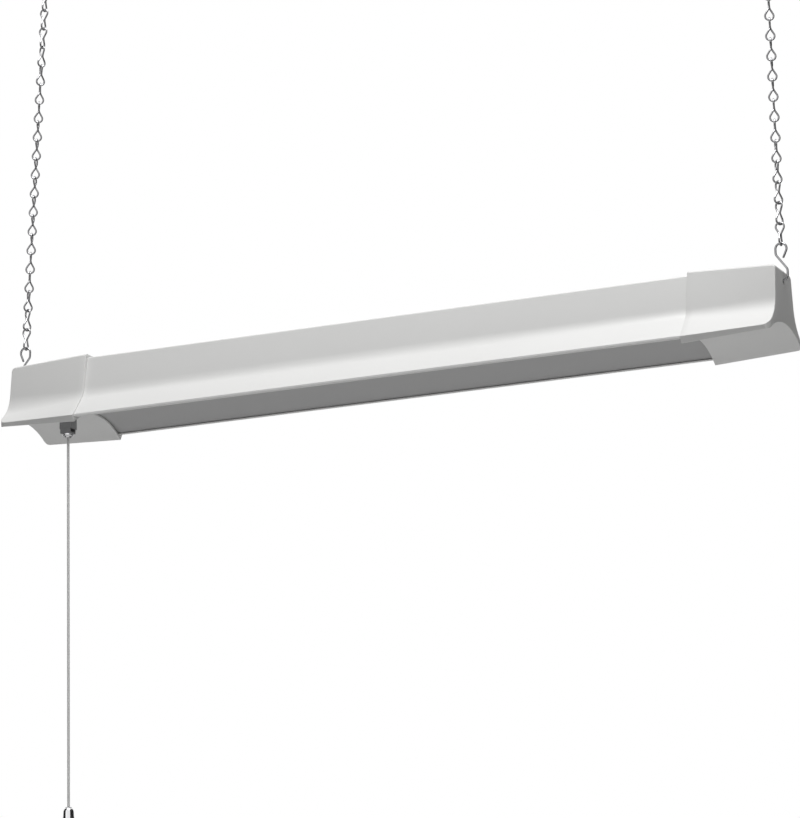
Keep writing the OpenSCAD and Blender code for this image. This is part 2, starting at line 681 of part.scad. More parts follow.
led_routes = [
    concat(
        between([led_start, 0], [0, 0], [
            [0, -1.5, 49.8], [0.114, -1.5, 49.8], [0.367, -1.5, 44], [0.62, -1.5, 40]
        ]),
        [[-12, -1.5, 38.5], [-6, -1, 38], [-3.6, 0, 35], [-4.2, 0, 32], [-8, 0, 31], [-22.4, 0, 31]]
    ),
    concat(
        between([led_start, 0], [0, 0], [
            [0, 1.5, 49.8], [0.114, 1.5, 49.8], [0.367, 1.8, 44], [0.62, 2, 40]
        ]),
        [[-12, 2, 38], [0, 1.6, 37.6], [4, 0.6, 35.5], [6, 0, 32.5], [9, 0, 31.2], [22.4, 0, 31.2]]
    )
];
module wire(route) tube(soften(soften(route)), wire_d, 6, [0.1, 0.3, 1]);
module live_wire() color("black") hung() wire(live_route);
module switched_wire() color("black") hung() wire(switched_route);
module neutral_wire() color("white") hung() wire(neutral_route);
module ground_wire() color("green") hung() {
    wire(ground_route);
    translate([ground_at[0], ground_at[1], tray_z + sheet]) difference() {
        union() {
            cylinder(r = 3.2, h = lug_t);
            translate([-6.4, -1.6, 0]) cube([5, 3.2, lug_t]);
        }
        screw_hole(0, lug_t);
    }
}
module led_wires() color("red") hung() for (r = led_routes) wire(r);

// ---- pull switch, drawn about its own middle with z = 0 at the box's underside ----
module at_switch() translate([switch_x, -switch_y, -switch_drop]) children();
box_t = 1.2;
bush_r = 4;
bush_bore = cord_d / 2 + 0.4;
mouth = 4;
module switch_body() color("dimgray") hung() at_switch() difference() {
    translate([-switch_w / 2, -switch_d / 2, 0]) cube([switch_w, switch_d, switch_h]);
    translate([-switch_w / 2 + box_t, -switch_d / 2 + box_t, box_t])
        cube([switch_w - 2 * box_t, switch_d - 2 * box_t, switch_h]);
    translate([0, 0, -over]) cylinder(r = bush_r + run, h = box_t + 2 * over);
    translate([0, 0, rotor_z]) rotate([90, 0, 0])
        cylinder(r = pin_r + run, h = switch_d + over, center = true);
}
module switch_cover() color("gray") hung() at_switch() difference() {
    translate([-switch_w / 2, -switch_d / 2, switch_h]) cube([switch_w, switch_d, 1]);
    for (x = [-1.7, 1.3]) translate([x, x + 0.2, switch_h - over]) cylinder(d = 2.2, h = 3);
}
module switch_bushing() color("silver") hung() at_switch() translate([0, 0, -mouth]) difference() {
    cylinder(r = bush_r, h = mouth + box_t);
    translate([0, 0, -over]) cylinder(r = bush_bore, h = mouth + box_t + 2 * over);
    translate([0, 0, -0.01]) cylinder(r1 = bush_r - 0.7, r2 = bush_bore, h = 2.4);
}
nut_h = 3.4;
module bushing_nut() color("silver") hung() at_switch() translate([0, 0, -nut_h]) rotate_extrude()
    difference() {
        intersection() {
            square([nut_d / 2, nut_h]);
            translate([0, nut_h]) circle(r = nut_d / 2);
        }
        square([2 * (bush_r + run), 20], center = true);
    }

rotor_z = 16.2;
rotor_r = 2.8;
pin_r = 0.8;
slider_z = 7.2;
module switch_rotor() color("ivory") hung() at_switch() translate([0, 0, rotor_z]) rotate([90, 0, 0])
    difference() {
        union() {
            cylinder(r = rotor_r - 0.5, h = 5, center = true);
            for (a = [0:60:300]) rotate([0, 0, a]) translate([0, -0.6, -1.5]) cube([rotor_r, 1.2, 3]);
        }
        cylinder(r = pin_r + run, h = 20, center = true);
    }
module rotor_pin() color("silver") hung() at_switch() translate([0, 0, rotor_z]) rotate([90, 0, 0])
    cylinder(r = pin_r, h = switch_d, center = true);
module switch_contacts() color("gold") hung() at_switch() for (s = [-1, 1]) {
    translate([s > 0 ? 5.2 : -5.8, -2, switch_h - 6]) cube([0.6, 4, 6]);
    translate([s > 0 ? 5.2 - 1.6 : -5.8, -2, switch_h - 1.2]) cube([2.2, 4, 0.6]);
}
module pull_slider() color("white") hung() at_switch() difference() {
    union() {
        translate([0, 0, slider_z + 0.6]) cylinder(r = 2.1, h = 4);
        translate([-4.6, -2.2, slider_z + 4.6]) cube([9.2, 4.4, 1.4]);
        translate([3.6, -2.2, slider_z + 4.6]) cube([1, 4.4, 5.6]);
    }
    translate([0, 0, slider_z]) cylinder(d = cord_d + 0.1, h = 3);
}

spring_turns = 6;
spring_wire = 0.5;
spring_r = 3;
spring_low = box_t + 0.3;
spring_high = slider_z + 4.3;
spring_route = [for (i = [0:spring_turns * 12]) let (a = i * 30)
    [spring_r * cos(a), spring_r * sin(a),
     spring_low + spring_wire / 2 + (spring_high - spring_low - spring_wire) * i / (spring_turns * 12)]];
module slider_spring() color("silver") hung() at_switch() tube(spring_route, spring_wire, 6, [0, 0, 1]);

cord_top = -2.2;      // where the free cord starts, in the bushing's mouth
stub_gap = 0.7;       // room for the free cord's top to swing
cord_route = [
    [0, 0, 0], [0, 0, -20], [0, 0, -45], [0, 0, -75], [0, 0, -105], [0, 0, -135], [0, 0, -165],
    [0, 0, -195], [0, 0, -225], [0, 0, -255], [0, 0, -285], [0, 0, -315], [0, 0, -345],
    [0, 0, -370], [0, 0, -395], [0, 0, -415]
];
cord_len = -cord_route[len(cord_route) - 1][2];
bell_z = cord_top - cord_len + 4;
module cord_stub() color("white") hung() at_switch()
    translate([0, 0, cord_top + stub_gap]) cylinder(d = cord_d, h = slider_z + 3 - cord_top - stub_gap);
module pull_cord() color("white") hung() at_switch()
    translate([0, 0, cord_top]) tube(cord_route, cord_d, 8, [0, 1, 0]);
module cord_knot() color("white") hung() at_switch()
    translate([0, 0, bell_z - 4 - 2.2]) rotate_extrude() intersection() {
        circle(r = 2.6);
        translate([0, -2.2]) square([3, 4.4]);
    }
module bell_pull() color("silver") hung() at_switch() translate([0, 0, bell_z]) rotate_extrude() {
    polygon(concat(
        [[cord_d / 2 + 0.1, 0], [3.2, -0.6]],
        [for (a = [60:-12:0]) [6 * cos(a), -6 + 6 * sin(a)]],
        [[6.2, -bell_h + 6.5], [6.9, -bell_h + 4], [8.2, -bell_h + 1.8], [8.4, -bell_h], [7.4, -bell_h],
         [7.2, -bell_h + 1.4], [6, -bell_h + 3.8], [5.2, -bell_h + 6.5]],
        [for (a = [0:15:45]) [5 * cos(a), -6 + 4.6 * sin(a)]],
        [[cord_d / 2 + 0.1, -3]]
    ));
}

ceiling_hook_left();
ceiling_hook_right();
upper_s_hook_left();
upper_s_hook_right();
chain_left();
chain_right();
lower_s_hook_left();
lower_s_hook_right();
hood();
end_cap_left();
end_cap_right();
cap_screws();
lens();
gear_tray();
tray_screws();
led_board_left();
led_board_right();
leds_left();
leds_right();
board_screws();
board_connectors();
driver_base();
driver_cover();
driver_board();
driver_transformer();
driver_capacitors();
driver_choke();
driver_screws();
terminal_block();
terminal_screws();
inlet_bushing();
ground_screw();
live_wire();
neutral_wire();
ground_wire();
switched_wire();
led_wires();
switch_body();
switch_cover();
switch_bushing();
bushing_nut();
switch_rotor();
rotor_pin();
switch_contacts();
pull_slider();
slider_spring();
cord_stub();
pull_cord();
cord_knot();
bell_pull();
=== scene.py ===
import math

import bmesh
import bpy
from mathutils import Matrix, Vector


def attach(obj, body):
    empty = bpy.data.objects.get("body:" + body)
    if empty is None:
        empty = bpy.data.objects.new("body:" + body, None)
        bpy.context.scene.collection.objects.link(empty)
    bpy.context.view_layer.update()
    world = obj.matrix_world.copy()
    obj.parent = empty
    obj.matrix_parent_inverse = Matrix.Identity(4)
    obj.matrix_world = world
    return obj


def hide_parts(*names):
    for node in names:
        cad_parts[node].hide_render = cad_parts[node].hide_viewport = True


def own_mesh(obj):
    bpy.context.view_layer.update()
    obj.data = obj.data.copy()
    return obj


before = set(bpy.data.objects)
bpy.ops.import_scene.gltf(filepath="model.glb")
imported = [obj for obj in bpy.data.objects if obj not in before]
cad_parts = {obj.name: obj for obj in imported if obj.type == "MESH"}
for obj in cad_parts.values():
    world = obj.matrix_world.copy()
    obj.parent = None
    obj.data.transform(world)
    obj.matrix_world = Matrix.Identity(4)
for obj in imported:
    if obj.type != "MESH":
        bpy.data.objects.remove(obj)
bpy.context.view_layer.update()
print("frame loaded")

# Lengths are in millimetres over the caps' lowest lip, x = 0 in the light's middle.
hanging = {"midX": 14.1844, "ceilingZ": 610.749}


def place(x, y, z):
    return Vector(((x - hanging["midX"]) / 1000, y / 1000, (z - hanging["ceilingZ"]) / 1000))


# ---- camera, fitted to the photograph's edges
view = {"at": (1463.7, -3313.6, -1479.35), "azimuth": 23.82, "elevation": -13.21, "roll": -1.35,
        "focalPixels": 3466, "longSide": 818}


def makeCamera(settings):
    az, el, roll = (math.radians(settings[k]) for k in ("azimuth", "elevation", "roll"))
    back = Vector((math.sin(az) * math.cos(el), -math.cos(az) * math.cos(el), math.sin(el)))
    right = (-back).cross(Vector((0, 0, 1))).normalized()
    up = right.cross(-back)
    turnedRight = right * math.cos(roll) + up * math.sin(roll)
    turnedUp = up * math.cos(roll) - right * math.sin(roll)
    data = bpy.data.cameras.new("camera")
    data.sensor_width = 36
    data.lens = settings["focalPixels"] / settings["longSide"] * 36
    data.clip_end = 60
    camera = bpy.data.objects.new("camera", data)
    turn = Matrix((turnedRight, turnedUp, back)).transposed().to_4x4()
    camera.matrix_world = Matrix.Translation(Vector(settings["at"]) / 1000) @ turn
    bpy.context.collection.objects.link(camera)
    bpy.context.scene.camera = camera


makeCamera(view)
print("camera made")


# ---- shader groups that several materials share
def socket(group, name, direction, kind, default=None):
    item = group.interface.new_socket(name=name, in_out=direction, socket_type=kind)
    if default is not None:
        item.default_value = default


def link(tree, fromSocket, toSocket):
    tree.links.new(fromSocket, toSocket)


def mathNode(tree, operation, a, b=None, c=None):
    node = tree.nodes.new("ShaderNodeMath")
    node.operation = operation
    for index, value in enumerate((a, b, c)):
        if value is None:
            continue
        if isinstance(value, (int, float)):
            node.inputs[index].default_value = value
        else:
            link(tree, value, node.inputs[index])
    return node.outputs[0]


def scaledColour(tree, colour, factor):
    mix = tree.nodes.new("ShaderNodeVectorMath")
    mix.operation = "SCALE"
    link(tree, colour, mix.inputs[0])
    link(tree, factor, mix.inputs["Scale"])
    return mix.outputs[0]


def makeSurfaceGroup():
    # Slow mottling and fine grain, for paint, plastic and plate
    group = bpy.data.node_groups.new("surfaceGrain", "ShaderNodeTree")
    socket(group, "Colour", "INPUT", "NodeSocketColor", (0.8, 0.8, 0.8, 1))
    socket(group, "Roughness", "INPUT", "NodeSocketFloat", 0.4)
    socket(group, "Grain Size", "INPUT", "NodeSocketFloat", 900)
    socket(group, "Mottle Size", "INPUT", "NodeSocketFloat", 14)
    socket(group, "Colour Change", "INPUT", "NodeSocketFloat", 0.03)
    socket(group, "Roughness Change", "INPUT", "NodeSocketFloat", 0.08)
    socket(group, "Colour", "OUTPUT", "NodeSocketColor")
    socket(group, "Roughness", "OUTPUT", "NodeSocketFloat")
    socket(group, "Height", "OUTPUT", "NodeSocketFloat")
    start = group.nodes.new("NodeGroupInput")
    end = group.nodes.new("NodeGroupOutput")
    coords = group.nodes.new("ShaderNodeTexCoord")

    def noise(size, detail):
        node = group.nodes.new("ShaderNodeTexNoise")
        node.inputs["Detail"].default_value = detail
        link(group, coords.outputs["Object"], node.inputs["Vector"])
        link(group, size, node.inputs["Scale"])
        return node.outputs["Fac"]

    grain = noise(start.outputs["Grain Size"], 2)
    mottle = noise(start.outputs["Mottle Size"], 4)
    slow = mathNode(group, "SUBTRACT", mottle, 0.5)
    change = mathNode(group, "MULTIPLY_ADD", slow, start.outputs["Colour Change"], 1)
    link(group, scaledColour(group, start.outputs["Colour"], change), end.inputs["Colour"])
    both = mathNode(group, "ADD", slow, mathNode(group, "SUBTRACT", grain, 0.5))
    rough = mathNode(group, "MULTIPLY_ADD", both, start.outputs["Roughness Change"],
                     start.outputs["Roughness"])
    link(group, rough, end.inputs["Roughness"])
    link(group, grain, end.inputs["Height"])
    return group


def makeBraidGroup():
    # Two sets of strands that wind opposite ways round an upright cord, with painted shade in the grooves
    # between strands
    group = bpy.data.node_groups.new("cordBraid", "ShaderNodeTree")
    socket(group, "Colour", "INPUT", "NodeSocketColor", (0.7, 0.7, 0.7, 1))
    socket(group, "Axis X", "INPUT", "NodeSocketFloat", 0)
    socket(group, "Axis Y", "INPUT", "NodeSocketFloat", 0)
    socket(group, "Strands", "INPUT", "NodeSocketFloat", 4)
    socket(group, "Pitch", "INPUT", "NodeSocketFloat", 0.006)
    socket(group, "Colour", "OUTPUT", "NodeSocketColor")
    socket(group, "Height", "OUTPUT", "NodeSocketFloat")
    start = group.nodes.new("NodeGroupInput")
    end = group.nodes.new("NodeGroupOutput")
    coords = group.nodes.new("ShaderNodeTexCoord")
    split = group.nodes.new("ShaderNodeSeparateXYZ")
    link(group, coords.outputs["Object"], split.inputs[0])
    x = mathNode(group, "SUBTRACT", split.outputs[0], start.outputs["Axis X"])
    y = mathNode(group, "SUBTRACT", split.outputs[1], start.outputs["Axis Y"])
    around = mathNode(group, "MULTIPLY", mathNode(group, "ARCTAN2", y, x), start.outputs["Strands"])
    turns = mathNode(group, "DIVIDE", split.outputs[2], start.outputs["Pitch"])
    along = mathNode(group, "MULTIPLY", turns, 2 * math.pi)
    right = mathNode(group, "SINE", mathNode(group, "ADD", along, around))
    left = mathNode(group, "SINE", mathNode(group, "SUBTRACT", along, around))
    weave = mathNode(group, "MAXIMUM", right, left)
    link(group, weave, end.inputs["Height"])
    # Colour painted up to 10% darker in the grooves between strands, as painted shade
    shade = mathNode(group, "MULTIPLY_ADD", weave, 0.05, 0.95)
    link(group, scaledColour(group, start.outputs["Colour"], shade), end.inputs["Colour"])
    return group


def makeBoardGroup():
    # Copper runs under solder mask, as the straight bands of a brick pattern
    group = bpy.data.node_groups.new("boardTraces", "ShaderNodeTree")
    socket(group, "Colour", "INPUT", "NodeSocketColor", (0.05, 0.3, 0.14, 1))
    socket(group, "Trace Size", "INPUT", "NodeSocketFloat", 260)
    socket(group, "Colour", "OUTPUT", "NodeSocketColor")
    socket(group, "Height", "OUTPUT", "NodeSocketFloat")
    start = group.nodes.new("NodeGroupInput")
    end = group.nodes.new("NodeGroupOutput")
    coords = group.nodes.new("ShaderNodeTexCoord")
    bricks = group.nodes.new("ShaderNodeTexBrick")
    bricks.inputs["Color1"].default_value = (1, 1, 1, 1)
    bricks.inputs["Color2"].default_value = (0.9, 0.9, 0.9, 1)
    bricks.inputs["Mortar"].default_value = (0.62, 0.62, 0.62, 1)
    bricks.inputs["Mortar Size"].default_value = 0.04
    link(group, coords.outputs["Object"], bricks.inputs["Vector"])
    link(group, start.outputs["Trace Size"], bricks.inputs["Scale"])
    invert = mathNode(group, "MULTIPLY_ADD", bricks.outputs["Fac"], -0.35, 1)
    link(group, scaledColour(group, start.outputs["Colour"], invert), end.inputs["Colour"])
    link(group, bricks.outputs["Fac"], end.inputs["Height"])
    return group


surfaceGrain = makeSurfaceGroup()
cordBraid = makeBraidGroup()
boardTraces = makeBoardGroup()


def addBump(tree, shader, height, strength, distance):
    bump = tree.nodes.new("ShaderNodeBump")
    bump.inputs["Strength"].default_value = strength
    bump.inputs["Distance"].default_value = distance
    link(tree, height, bump.inputs["Height"])
    link(tree, bump.outputs["Normal"], shader.inputs["Normal"])


def newMaterial(name, colour, values):
    material = bpy.data.materials.new(name)
    material.use_nodes = True
    material.diffuse_color = (*colour, 1)
    shader = material.node_tree.nodes["Principled BSDF"]
    for key, value in values.items():
        shader.inputs[key].default_value = value
    return material, material.node_tree, shader


def grainMaterial(name, colour, roughness=0.4, grainSize=900, mottleSize=14, colourChange=0.03,
                  roughnessChange=0.08, bump=0.15, depth=0.00002, **values):
    material, tree, shader = newMaterial(name, colour, values)
    grain = tree.nodes.new("ShaderNodeGroup")
    grain.node_tree = surfaceGrain
    for key, value in (("Colour", (*colour, 1)), ("Roughness", roughness), ("Grain Size", grainSize),
                       ("Mottle Size", mottleSize),
                       ("Colour Change", colourChange), ("Roughness Change", roughnessChange)):
        grain.inputs[key].default_value = value
    link(tree, grain.outputs["Colour"], shader.inputs["Base Color"])
    link(tree, grain.outputs["Roughness"], shader.inputs["Roughness"])
    addBump(tree, shader, grain.outputs["Height"], bump, depth)
    return material


def braidMaterial(name, colour, axis, values):
    material, tree, shader = newMaterial(name, colour, values)
    braid = tree.nodes.new("ShaderNodeGroup")
    braid.node_tree = cordBraid
    braid.inputs["Colour"].default_value = (*colour, 1)
    braid.inputs["Axis X"].default_value = axis.x
    braid.inputs["Axis Y"].default_value = axis.y
    link(tree, braid.outputs["Colour"], shader.inputs["Base Color"])
    addBump(tree, shader, braid.outputs["Height"], 0.6, 0.0002)
    return material


def boardMaterial(name, colour, values):
    material, tree, shader = newMaterial(name, colour, values)
    traces = tree.nodes.new("ShaderNodeGroup")
    traces.node_tree = boardTraces
    traces.inputs["Colour"].default_value = (*colour, 1)
    link(tree, traces.outputs["Colour"], shader.inputs["Base Color"])
    addBump(tree, shader, traces.outputs["Height"], 0.3, 0.00003)
    return material


switch = {"x": -369.3, "y": -40.5, "under": -10, "width": 14.8, "depth": 12.5, "height": 21.2}
cordAxis = place(switch["x"], switch["y"], 0)

# After the colour: roughness, grain size, mottle size, colour change, roughness change, bump
enamel = grainMaterial("whiteEnamel", (0.83, 0.83, 0.82), 0.33, 700, 9, 0.03, 0.08, 0.12,
                       **{"Coat Weight": 0.25, "Coat Roughness": 0.12})
moulding = grainMaterial("whiteMoulding", (0.79, 0.79, 0.78), 0.42, 1500, 12, 0.025, 0.08, 0.12)
# The lens's grey is partly its opal tone and partly painted shade of the recess under the hood
opal = grainMaterial("opalLens", (0.47, 0.47, 0.47), 0.5, 1800, 6, 0.04, 0.08, 0.1)
# The zinc's base is set darker than bright zinc's own, as painted darkness of the dark surroundings that the
# wires reflect
zinc = grainMaterial("brightZinc", (0.38, 0.38, 0.39), 0.12, 1400, 120, 0.16, 0.1, 0.12, Metallic=1.0)
chrome = grainMaterial("polishedChrome", (0.8, 0.8, 0.81), 0.07, 600, 60, 0.04, 0.05, 0.04, Metallic=1.0)
plate = grainMaterial("platedScrew", (0.72, 0.72, 0.73), 0.3, 2200, 150, 0.1, 0.12, Metallic=1.0)
darkPlastic = grainMaterial("darkMoulding", (0.3, 0.3, 0.305), 0.45, 2600, 90, 0.15, 0.08, 0.3)
braid = braidMaterial("braidedCord", (0.85, 0.85, 0.84), cordAxis, {"Roughness": 0.75, "Sheen Weight": 0.2})
ledBoard = boardMaterial("whiteBoard", (0.85, 0.85, 0.84), {"Roughness": 0.4})
greenBoard = boardMaterial("greenBoard", (0.03, 0.2, 0.08), {"Roughness": 0.35})
phosphor = grainMaterial("ledPhosphor", (0.85, 0.68, 0.15), 0.35, 4000, 800, 0.2)
ivory = grainMaterial("ivoryMoulding", (0.78, 0.74, 0.62), 0.45, 2400, 60)
caseEnamel = grainMaterial("greyEnamel", (0.62, 0.62, 0.62), 0.4, 900, 20)
windingTape = grainMaterial("windingTape", (0.8, 0.55, 0.06), 0.5, 1800, 120, 0.12)
sleeve = grainMaterial("shrinkSleeve", (0.03, 0.035, 0.08), 0.3, 1500, 80, 0.2)
copper = grainMaterial("woundCopper", (0.72, 0.33, 0.12), 0.35, 3000, 200, 0.3, Metallic=1.0)
brass = grainMaterial("plainBrass", (0.8, 0.58, 0.26), 0.28, 2000, 150, 0.15, Metallic=1.0)
nylon = grainMaterial("greyNylon", (0.16, 0.16, 0.165), 0.5, 2600, 80, 0.1)
greenPaint = grainMaterial("greenScrewPaint", (0.04, 0.3, 0.09), 0.35, 2000, 120)
insulation = {
    "black": grainMaterial("blackInsulation", (0.02, 0.02, 0.02), 0.35, 3000, 90, 0.3),
    "white": grainMaterial("whiteInsulation", (0.8, 0.8, 0.79), 0.35, 3000, 90),
    "green": grainMaterial("greenInsulation", (0.03, 0.3, 0.08), 0.35, 3000, 90, 0.1),
    "red": grainMaterial("redInsulation", (0.55, 0.03, 0.02), 0.35, 3000, 90, 0.1),
}
print("materials made")

nodeFinish = {
    "cap_screws": plate, "tray_screws": plate, "board_screws": plate, "driver_screws": plate,
    "rotor_pin": plate,
    "gear_tray": enamel, "led_board_left": ledBoard, "led_board_right": ledBoard, "leds_left": phosphor,
    "leds_right": phosphor,
    "board_connectors": ivory, "terminal_block": ivory, "switch_rotor": ivory, "pull_slider": ivory,
    "driver_base": caseEnamel, "driver_cover": caseEnamel, "driver_board": greenBoard,
    "driver_transformer": windingTape,
    "driver_capacitors": sleeve, "driver_choke": copper, "terminal_screws": brass, "switch_contacts": brass,
    "inlet_bushing": nylon, "ground_screw": greenPaint, "live_wire": insulation["black"],
    "switched_wire": insulation["black"],
    "neutral_wire": insulation["white"], "ground_wire": insulation["green"], "led_wires": insulation["red"],
    "switch_cover": darkPlastic, "switch_bushing": chrome, "cord_stub": braid,
}
for nodeName, finish in nodeFinish.items():
    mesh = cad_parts[nodeName].data
    mesh.materials.clear()
    mesh.materials.append(finish)


# ---- making pieces
def softenShading(mesh, sharpDegrees):
    work = bmesh.new()
    work.from_mesh(mesh)
    limit = math.radians(sharpDegrees)
    for face in work.faces:
        face.smooth = True
    for edge in work.edges:
        edge.smooth = len(edge.link_faces) == 2 and edge.calc_face_angle(0) < limit
    work.to_mesh(mesh)
    work.free()


def finishPiece(name, mesh, material, body, replaced=(), sharp=30):
    mesh.materials.clear()
    mesh.materials.append(material)
    softenShading(mesh, sharp)
    piece = bpy.data.objects.new(name, mesh)
    bpy.context.collection.objects.link(piece)
    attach(piece, body)
    if replaced:
        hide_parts(*replaced)
    return piece


def meshFrom(name, points, faces):
    mesh = bpy.data.meshes.new(name)
    mesh.from_pydata([tuple(p) for p in points], [], faces)
    work = bmesh.new()
    work.from_mesh(mesh)
    bmesh.ops.recalc_face_normals(work, faces=work.faces)
    work.to_mesh(mesh)
    work.free()
    return mesh


def bakedMesh(thing):
    # The mesh of an object after its modifiers or curve settings, leaving nothing behind
    bpy.context.view_layer.update()
    graph = bpy.context.evaluated_depsgraph_get()
    mesh = bpy.data.meshes.new_from_object(thing.evaluated_get(graph))
    data = thing.data
    bpy.data.objects.remove(thing)
    if isinstance(data, bpy.types.Curve):
        bpy.data.curves.remove(data)
    else:
        bpy.data.meshes.remove(data)
    return mesh


def cutMesh(mesh, cutters):
    # Takes each cutter mesh out of a mesh
    thing = bpy.data.objects.new("cutting", mesh)
    bpy.context.collection.objects.link(thing)
    tools = []
    for cutter in cutters:
        tool = bpy.data.objects.new("cutter", cutter)
        bpy.context.collection.objects.link(tool)
        modifier = thing.modifiers.new("cut", "BOOLEAN")
        modifier.operation = "DIFFERENCE"
        modifier.solver = "EXACT"
        modifier.object = tool
        tools.append(tool)
    result = bakedMesh(thing)
    for tool in tools:
        data = tool.data
        bpy.data.objects.remove(tool)
        bpy.data.meshes.remove(data)
    return result


def boxMesh(low, high):
    xs, ys, zs = ((low[i], high[i]) for i in range(3))
    points = [place(x, y, z) for x in xs for y in ys for z in zs]
    faces = [(0, 1, 3, 2), (4, 6, 7, 5), (0, 4, 5, 1), (2, 3, 7, 6), (0, 2, 6, 4), (1, 5, 7, 3)]
    return meshFrom("box", points, faces)


def rodMesh(start, end, radius, sides=48):
    # A plain round rod, used to drill holes
    axis = (Vector(end) - Vector(start)).normalized()
    side = axis.orthogonal().normalized()
    other = axis.cross(side)
    points, faces = [], []
    for middle in (Vector(start), Vector(end)):
        for i in range(sides):
            turn = 2 * math.pi * i / sides
            points.append(place(*(middle + radius * (side * math.cos(turn) + other * math.sin(turn)))))
    faces = [(i, (i + 1) % sides, sides + (i + 1) % sides, sides + i) for i in range(sides)]
    faces += [tuple(range(sides)), tuple(range(sides, 2 * sides))]
    return meshFrom("rod", points, faces)


def latheMesh(name, profile, x, y, z, sides=64):
    # Turns (radius, height) points about an upright axis; the profile is closed
    points, faces = [], []
    count = len(profile)
    for i in range(sides):
        turn = 2 * math.pi * i / sides
        for radius, height in profile:
            points.append(place(x + radius * math.cos(turn), y + radius * math.sin(turn), z + height))
    for i in range(sides):
        for j in range(count):
            a, b = i * count, (i + 1) % sides * count
            faces.append((a + j, a + (j + 1) % count, b + (j + 1) % count, b + j))
    return meshFrom(name, points, faces)


def ringMesh(name, rings, closeStart=True, closeEnd=True):
    # Skins a row of closed rings of equal count
    count = len(rings[0])
    points = [p for ring in rings for p in ring]
    faces = []
    for i in range(len(rings) - 1):
        for j in range(count):
            a, b = i * count, (i + 1) * count
            faces.append((a + j, a + (j + 1) % count, b + (j + 1) % count, b + j))
    if closeStart:
        faces.append(tuple(range(count)))
    if closeEnd:
        faces.append(tuple(range((len(rings) - 1) * count, len(rings) * count)))
    return meshFrom(name, points, faces)


def smoothRoute(points, cyclic, steps):
    # A uniform Catmull-Rom curve through the points
    count = len(points)
    route = []
    spans = count if cyclic else count - 1
    for i in range(spans):
        if cyclic:
            p = [points[(i + k) % count] for k in (-1, 0, 1, 2)]
        else:
            p = [points[min(max(i + k, 0), count - 1)] for k in (-1, 0, 1, 2)]
        for s in range(steps):
            t = s / steps
            route.append(0.5 * (2 * p[1] + (p[2] - p[0]) * t + (2 * p[0] - 5 * p[1] + 4 * p[2] - p[3]) * t * t
                                + (3 * p[1] - p[0] - 3 * p[2] + p[3]) * t * t * t))
    if not cyclic:
        route.append(points[-1].copy())
    return route


def wireMesh(routes, diameter, cyclic=False, roundEnds=0.35):
    # Round wire along each route, with eased ends
    data = bpy.data.curves.new("wire", "CURVE")
    data.dimensions = "3D"
    data.bevel_depth = diameter / 2000
    data.bevel_resolution = 5
    data.use_fill_caps = True
    data.twist_mode = "MINIMUM"
    for route in routes:
        radii = [1.0] * len(route)
        if not cyclic and roundEnds:
            first, last = route[0], route[-1]
            start, finish = (route[0] - route[1]).normalized(), (route[-1] - route[-2]).normalized()
            ease = diameter * roundEnds
            steps = (0.35, 0.7, 0.92)
            inner = [ease * s for s in steps]
            head = [first - start * (ease - d) for d in reversed(inner)]
            tail = [last - finish * (ease - d) for d in inner]
            shrink = [math.sqrt(max(0.02, 1 - s * s)) for s in steps]
            head = [first] + head
            tail = tail + [last]
            middle = [p for p in route if (p - first).length > ease * 1.1 and (p - last).length > ease * 1.1]
            route = head + middle + tail
            radii = [0.3] + list(reversed(shrink)) + [1.0] * len(middle) + shrink + [0.3]
        spline = data.splines.new("POLY")
        spline.points.add(len(route) - 1)
        for point, where, radius in zip(spline.points, route, radii):
            point.co = (*place(*where), 1)
            point.radius = radius
        spline.use_cyclic_u = cyclic
    thing = bpy.data.objects.new("wire", data)
    bpy.context.collection.objects.link(thing)
    return bakedMesh(thing)


def arcPoints(centre, radius, fromDegrees, toDegrees, steps):
    route = []
    for i in range(steps + 1):
        turn = math.radians(fromDegrees + (toDegrees - fromDegrees) * i / steps)
        a, b = radius * math.cos(turn), radius * math.sin(turn)
        route.append(Vector((centre[0] + a, centre[1], centre[2] + b)))
    return route


# ---- pull cord with its knot and bell
cord = {"diameter": 3.0, "top": -12.2, "bell": -423.2, "bellHeight": 17}
cordRoute = [
    (0, 0, 0), (0, 0, -20), (0, 0, -45), (0, 0, -75), (0, 0, -105), (0, 0, -135), (0, 0, -165),
    (0, 0, -195), (0, 0, -225), (0, 0, -255), (0, 0, -285), (0, 0, -315), (0, 0, -345),
    (0, 0, -370), (0, 0, -395), (0, 0, -415),
]


def makeCord(settings):
    data = bpy.data.curves.new("pullCord", "CURVE")
    data.dimensions = "3D"
    data.bevel_depth = settings["diameter"] / 2000
    data.bevel_resolution = 6
    data.use_fill_caps = True
    spline = data.splines.new("POLY")
    spline.points.add(len(cordRoute) - 1)
    for point, (x, y, z) in zip(spline.points, cordRoute):
        point.co = (*place(switch["x"] + x, switch["y"] + y, settings["top"] + z), 1)
    data.materials.append(braid)
    piece = bpy.data.objects.new("pullCord", data)
    bpy.context.collection.objects.link(piece)
    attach(piece, "cord")
    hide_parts("pull_cord")
    return piece


def bellProfile(height):
    outside = [(1.7, 0.1), (2.6, -0.1), (3.6, -0.6)]
    outside += [(6 * math.cos(math.radians(a)), -6 + 6 * math.sin(math.radians(a)))
                for a in range(56, -1, -8)]
    outside += [(6.05, -7.6), (6.2, -height + 7), (6.5, -height + 5.2), (7.0, -height + 3.6),
                (7.7, -height + 2.2), (8.2, -height + 1.1),
                (8.35, -height + 0.4), (8.2, -height + 0.05), (7.8, -height), (7.45, -height + 0.2)]
    inside = [(7.1, -height + 1.6), (6.4, -height + 3.0), (5.7, -height + 5), (5.3, -height + 7), (5.1, -7)]
    inside += [(5.1 * math.cos(math.radians(a)), -6 + 4.7 * math.sin(math.radians(a)))
               for a in range(0, 61, 10)]
    inside += [(1.7, -1.5)]
    return outside + inside


